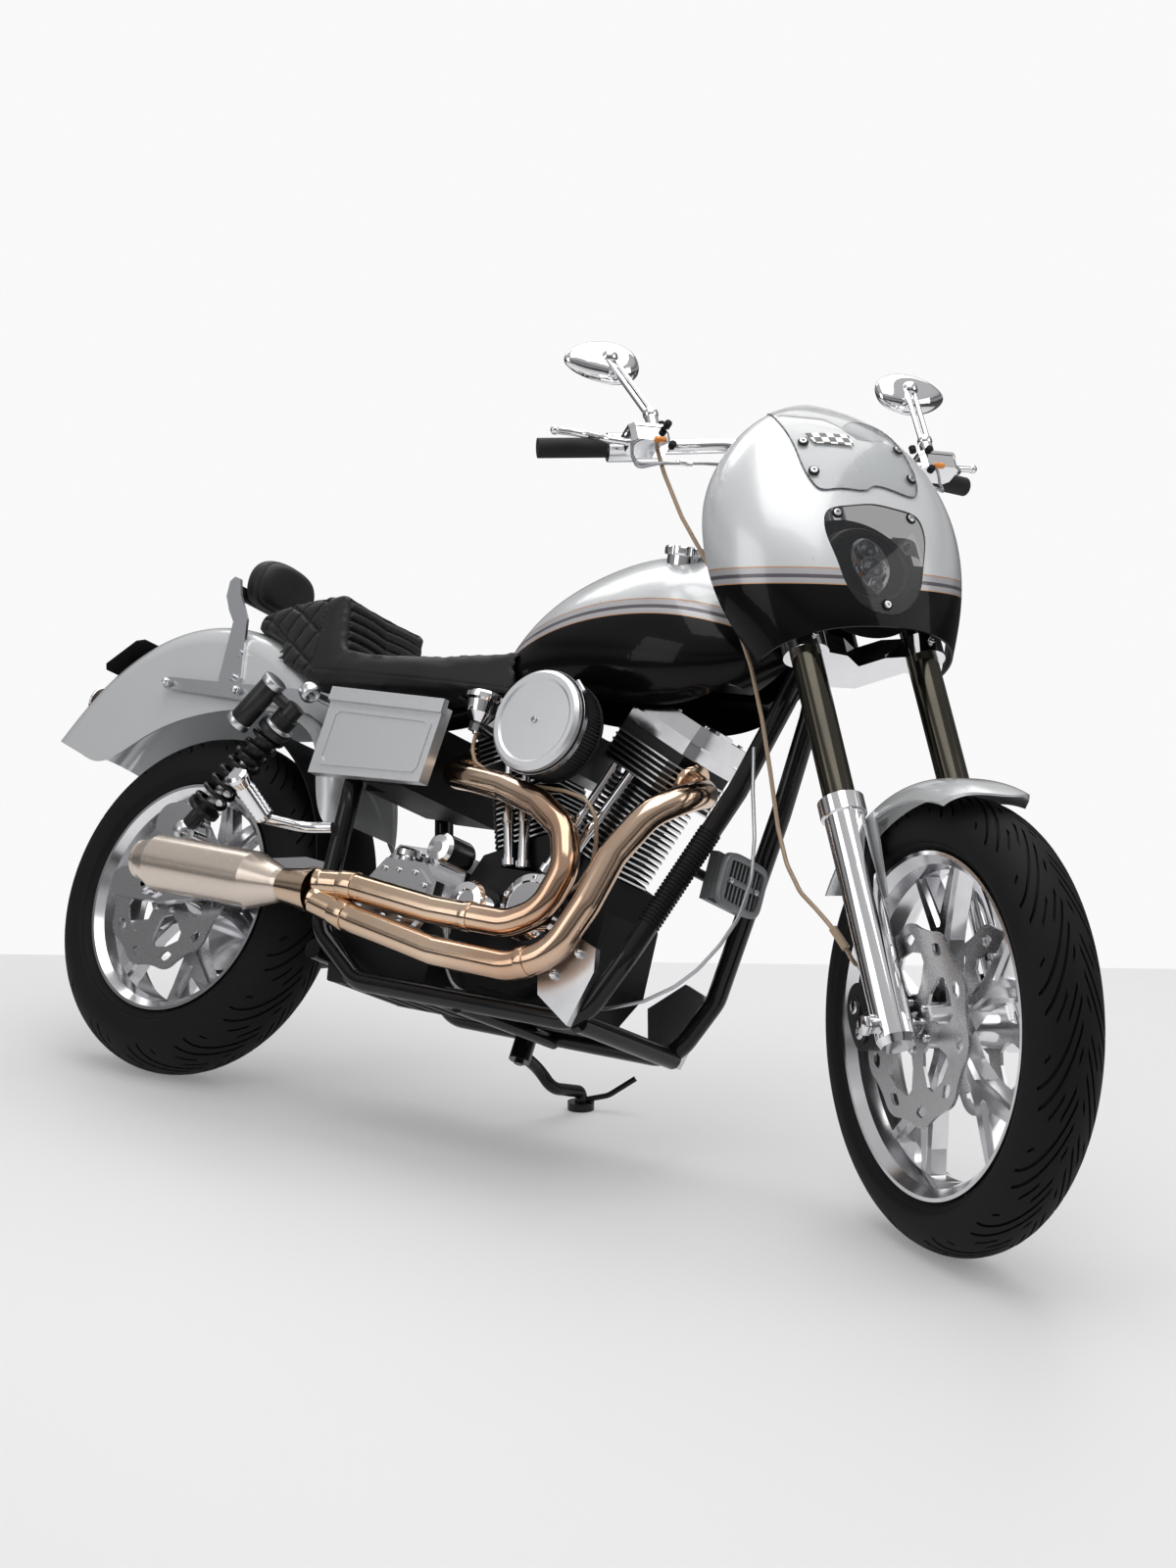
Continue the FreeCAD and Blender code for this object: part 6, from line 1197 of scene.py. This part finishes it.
# %% Checked instrument strip
SQUARE = 0.012
tree, shader, place = start_material("CheckedFace", coat=0.6)
squares, face_place = tree.nodes.new("ShaderNodeTexChecker"), tree.nodes.new("ShaderNodeCombineXYZ")
for label, direction in (("Y", LEFT), ("Z", UP)):
    along = dot_height(tree, place, FORK.to_3x3() @ Vector(direction), FORK.translation)
    feed(tree, math_node(tree, "ADD", along, 0.5 * SQUARE), face_place.inputs[label])
for label, value in (("Vector", face_place.outputs["Vector"]), ("Scale", 1 / SQUARE),
                     ("Color1", (0.80, 0.80, 0.78)), ("Color2", (0.015, 0.015, 0.016))):
    feed(tree, value, squares.inputs[label])
feed(tree, squares.outputs["Color"], shader["Base Color"])
feed(tree, math_node(tree, "MULTIPLY_ADD", noise(tree, place, 60.0), 0.2, 0.2), shader["Roughness"])
strip = start("CheckedStrip", "grid", x_subdivisions=26, y_subdivisions=8, size=1)
for corner in strip.data.vertices:
    across, up = corner.co.x + 0.5, corner.co.y + 0.5
    aside, level = -76 + 74 * across + 8 * (1 - up) * (1 - across), 963 + 27 * up - 4 * across
    point, facing = on_skin("windscreen", aside, level) or on_skin("fairing", aside, level)
    corner.co = 0.001 * point + 0.0004 * facing
hand_in(walled(strip, 0.0005), FORK, "steering", "CheckedFace")

# %% [markdown]
# The top of the fork: caps on the tubes, the stem's nut, pinch bolts in the yokes and the clamp bolts of the
# handlebar. Low down come the axle's nuts and the plugs of the calipers.

# %% Fork caps, bolts and nuts
LEG, LEG_AHEAD, YOKE_TOP, BAR_X, BAR_HEIGHT = 105, 67, 846, -8, 1085


def on_fork(name, pattern, spots):
    scatter(name, pattern, spots, FORK, "steering", "Chrome")


def both_sides(x, aside, *levels):
    """Spots that face outward, the same on the right and on the left."""
    return [((x, side * aside, level), (0, side, 0)) for side in SIDES for level in levels]


bolts = [((LEG_AHEAD + 36.6, side * LEG, level), AHEAD) for side in SIDES for level in (649, 829)]
bolts += [((BAR_X + off, side * 44, BAR_HEIGHT + 20), UP) for side in SIDES for off in (-13, 13)]
on_fork("ForkCaps", hex_nut("ForkCap", 0.022, 0.009),
        [((LEG_AHEAD, side * LEG, YOKE_TOP + 5.8), UP) for side in SIDES])
on_fork("StemNut", hex_nut("StemNutBlank", 0.020, 0.010, dome=True), [((0, 0, YOKE_TOP + 7.8), UP)])
on_fork("ForkScrews", cap_screw("ForkScrew", 0.0056, 0.007), bolts + both_sides(LEG_AHEAD, 135.4, 12))
on_fork("FrontAxleNuts", hex_nut("FrontAxleNut", 0.0165, 0.010), both_sides(LEG_AHEAD, 147.6, 0))
on_fork("CaliperPlugs", post("CaliperPlug", 0.0105, 0.003, 0.001, level=0.0012), both_sides(-53, 89.4, 41, 83))

# %% [markdown]
# Both mirrors get their silvered glass, and the controls their buttons and marker lenses.

# %% Mirror glass and controls
BUTTONS = (((0.040, 0.246, 1.084), AHEAD), ((0.036, 0.243, 1.046), AHEAD), ((0.006, 0.238, 1.108), UP))
panes = [apply_place(apply_place(start(f"MirrorPane{side}", "circle", (0.058, 0.034, 1), vertices=64, radius=1,
                                       fill_type="NGON")), look_along((-0.0504, side * 0.298, 1.2683), (-1, 0, 0)))
         for side in SIDES]
ambers = [block(f"SignalLens{side}", (0.010, 0.021, 0.0075), 0.002, place=moved(0.034, side * 0.262, 1.0565))
          for side in SIDES]
buttons = [post(f"Button{side}{step}", 0.0062, 0.012, 0.0014, 3, 28, place=look_along((x, side * aside, z), way))
           for side in SIDES for step, ((x, aside, z), way) in enumerate(BUTTONS)]
hand_in(walled(join("MirrorPanes", panes), 0.0008), FORK, "steering", "Chrome")
hand_in(join("SignalLenses", ambers), FORK, "steering", "AmberLens")
hand_in(join("ControlButtons", buttons), FORK, "steering", "BlackPlastic")

# %% [markdown]
# The screen is clear, so what shows of it is its cut edge. A copy of the screen keeps only the narrow faces
# round its rim, gets a little thickness and a dark glass finish.

# %% Screen edge
screen_edge = merged_node("windscreen", "ScreenEdge")
screen_middle = FORK @ Vector((-0.02, 0, 0.80))


def off_rim(face):
    outward = (face.calc_center_median() - screen_middle).normalized()
    return abs(face.normal.dot(outward)) >= 0.62


pick(screen_edge, "faces", off_rim)
bpy.ops.mesh.delete(type="FACE")
object_mode()
hand_in(walled(screen_edge, 0.0008), Matrix(), "steering", "EdgeGlass", 30)

# %% [markdown]
# Cables run from the controls under the handlebar into the fairing: two from the twist grip, one from the
# clutch lever. Each is a thin bent tube with a crimped sleeve where its sheath ends.

# %% Control cables
cables, sleeves = [], []
for name, side, low, far in (("OpenCable", -1, 1.030, 0.000), ("CloseCable", -1, 1.022, 0.012),
                             ("LeverCable", 1, 1.028, 0.004)):
    route = [(-0.020, side * 0.292, 1.070), (-0.010, side * 0.290, low + 0.006), (0.004 + far, side * 0.262, low),
             (0.010 + far, side * 0.180, low + 0.004), (0.004 + far, side * 0.110, low + 0.010)]
    cables.append(bent_tube(name, route, 0.0027, 0.016, sides=12, steps=6))
    sleeves.append(post(name + "Sleeve", 0.0042, 0.022, 0.0006, 3, 40,
                        place=look_along((0.0075 + far, side * 0.216, low + 0.0022), (0, 1, -0.05))))
hand_in(join("ControlCables", cables), FORK, "steering", "CableSheath")
hand_in(join("CableSleeves", sleeves), FORK, "steering", "Chrome")

# %% [markdown]
# Each shock absorber is remodelled as it is built: a real coil of round wire between two cups, the damper body
# through its middle, a threaded collar above and a spare-fluid can beside it on a short bridge. The coil is a
# small circle swept by the screw modifier. Both shocks stand for the plain ones of the CAD model.

# %% Shock absorbers
SHOCK_SIDE, SHOCK_TOP, SHOCK_LOW = 0.172, Vector((0.296, 0, 0.708)), Vector((0.084, 0, 0.428))
SHOCK_RUN = SHOCK_LOW - SHOCK_TOP
COIL_START, COIL_END, COIL_TURNS, WIRE, COIL_RADIUS = 0.105, 0.288, 8, 0.0046, 0.0262
THREADS, THREAD_START, THREAD_STEP = 10, 0.060, 0.003


def drum(name, radius, start_at, end_at, edge=0.0015):
    """Round piece along Z between two distances from the top eye."""
    return post(name, radius, end_at - start_at, edge, 2, 40, (start_at + end_at) / 2)


def eye(name, distance):
    ring = start(name, "torus", (1, 1, 2.3), major_segments=40, minor_segments=16, major_radius=0.0135,
                 minor_radius=0.0055)
    return apply_place(ring, moved(0, 0, distance) @ Matrix.Rotation(math.pi / 2, 4, "X"))


def coil(name):
    wire = start(name, "circle", vertices=14, radius=WIRE, location=(COIL_RADIUS, 0, COIL_START),
                 rotation=(math.pi / 2, 0, 0))
    modify(apply_place(wire), "SCREW", axis="Z", screw_offset=(COIL_END - COIL_START) / COIL_TURNS,
           iterations=COIL_TURNS, angle=2 * math.pi, steps=40, render_steps=40, use_smooth_shade=True)
    pick(wire, "edges", lambda edge: edge.is_boundary)
    bpy.ops.mesh.fill()
    object_mode()
    return wire


bodies, springs, brights = [], [], []
for side in SIDES:
    down = SHOCK_RUN.normalized()
    shock_place = axes_matrix(Vector(LEFT), down.cross(Vector(LEFT)), down,
                              SHOCK_TOP + Vector((0, side * SHOCK_SIDE, 0)))
    can_offset = Vector((side * 0.036, -0.046, 0))
    parts = [drum(f"DamperBody{side}", 0.0175, 0.036, 0.175), drum(f"TopCup{side}", 0.0315, 0.090, 0.104),
             drum(f"LowCup{side}", 0.0315, 0.288, 0.299), drum(f"LowMount{side}", 0.014, 0.298, 0.336)]
    for index in range(THREADS):
        level = THREAD_START + THREAD_STEP * index
        parts.append(drum(f"Thread{side}{index}", 0.0225 - 0.001 * (index % 2), level, level + 0.0025, 0.0004))
    neck = start(f"CanNeck{side}", "cylinder", vertices=28, radius=0.011, depth=0.058)
    parts += [apply_place(drum(f"FluidCan{side}", 0.0212, 0.036, 0.132), moved(*can_offset)),
              apply_place(neck, look_along(Vector((0, 0, 0.048)) + 0.5 * can_offset, can_offset))]
    lids = [apply_place(drum(f"CanLid{side}{end}", 0.0232, start_at, start_at + 0.013), moved(*can_offset))
            for end, start_at in (("Top", 0.026), ("Low", 0.124))]
    bodies += [apply_place(piece, shock_place) for piece in parts]
    springs.append(apply_place(coil(f"Coil{side}"), shock_place))
    shiny = [drum(f"ShockRod{side}", 0.0085, 0.170, 0.300), drum(f"PreloadRing{side}", 0.0300, 0.080, 0.0885),
             eye(f"TopEye{side}", 0.0), eye(f"LowEye{side}", SHOCK_RUN.length)]
    brights += [apply_place(piece, shock_place) for piece in shiny + lids]
hand_in(join("ShockBodies", bodies), MACHINE, "chassis", "BlackAnodised",
        stands_for=("shock_absorbers",))
hand_in(join("ShockSprings", springs), MACHINE, "chassis", "BlackEnamel", 60)
hand_in(join("ShockBrights", brights), MACHINE, "chassis", "SatinAlloy")

# %% [markdown]
# The tail end: a bright rim and a ruby lens on the tail light, and hexagon nuts on the axle. The rotors and the
# pulley get their screws and the rims their valve stems, so the wheels show when they turn.

# %% Tail light, axle nuts, wheel details
TAIL = MACHINE @ look_along((-0.382, 0, 0.686), (-1, 0, 0.06))
SCREW_PHASE = 0.3
rim = start("TailRim", "torus", major_segments=64, minor_segments=14, major_radius=0.0315, minor_radius=0.0032,
            location=(0, 0, 0.050))
hand_in(apply_place(rim), TAIL, "chassis", "Chrome")
ruby = start("TailLens", "uv_sphere", (1, 1, 0.5), segments=48, ring_count=24, radius=0.0290, location=(0, 0, 0.052))
hand_in(apply_place(ruby), TAIL, "chassis", "RubyLens")
nuts = []
for side in SIDES:
    nut = start(f"AxleNut{side}", "cylinder", vertices=6, radius=0.0175, depth=0.012, end_fill_type="NOTHING")
    nuts.append(apply_place(walled(nut, 0.0045, -1), look_along((0, side * 0.1445, REAR_RADIUS), (0, side, 0))))
hand_in(join("RearAxleNuts", nuts), MACHINE, "chassis", "Chrome", 20)
for name, aside, radius, matrix, body, slot in (
        ("FrontRotorButtonsRight", -67.9, 36, FRONT_WHEEL, "front_wheel", "rotor_steel"),
        ("FrontRotorButtonsLeft", 67.9, 36, FRONT_WHEEL, "front_wheel", "rotor_steel"),
        ("RearRotorButtons", -84.9, 36, REAR_WHEEL, "rear_wheel", "rotor_steel"),
        ("PulleyScrews", 101.2, 33, REAR_WHEEL, "rear_wheel", "polished")):
    spots = ring_spots((0, aside, 0), radius, 5, (0, math.copysign(1, aside), 0), SCREW_PHASE)
    scatter(name, cap_screw("WheelScrew", 0.0055, 0.004), spots, matrix, body, "Chrome")
for wheel, matrix, inner in (("front_wheel", FRONT_WHEEL, 0.237), ("rear_wheel", REAR_WHEEL, 0.198)):
    stem = start(wheel + "Valve", "cylinder", vertices=20, radius=0.0038, depth=0.030)
    apply_place(stem, look_along((inner - 0.012, -0.012, 0), (-1, -0.35, 0)))
    hand_in(stem, matrix, wheel, "BoltSteel")
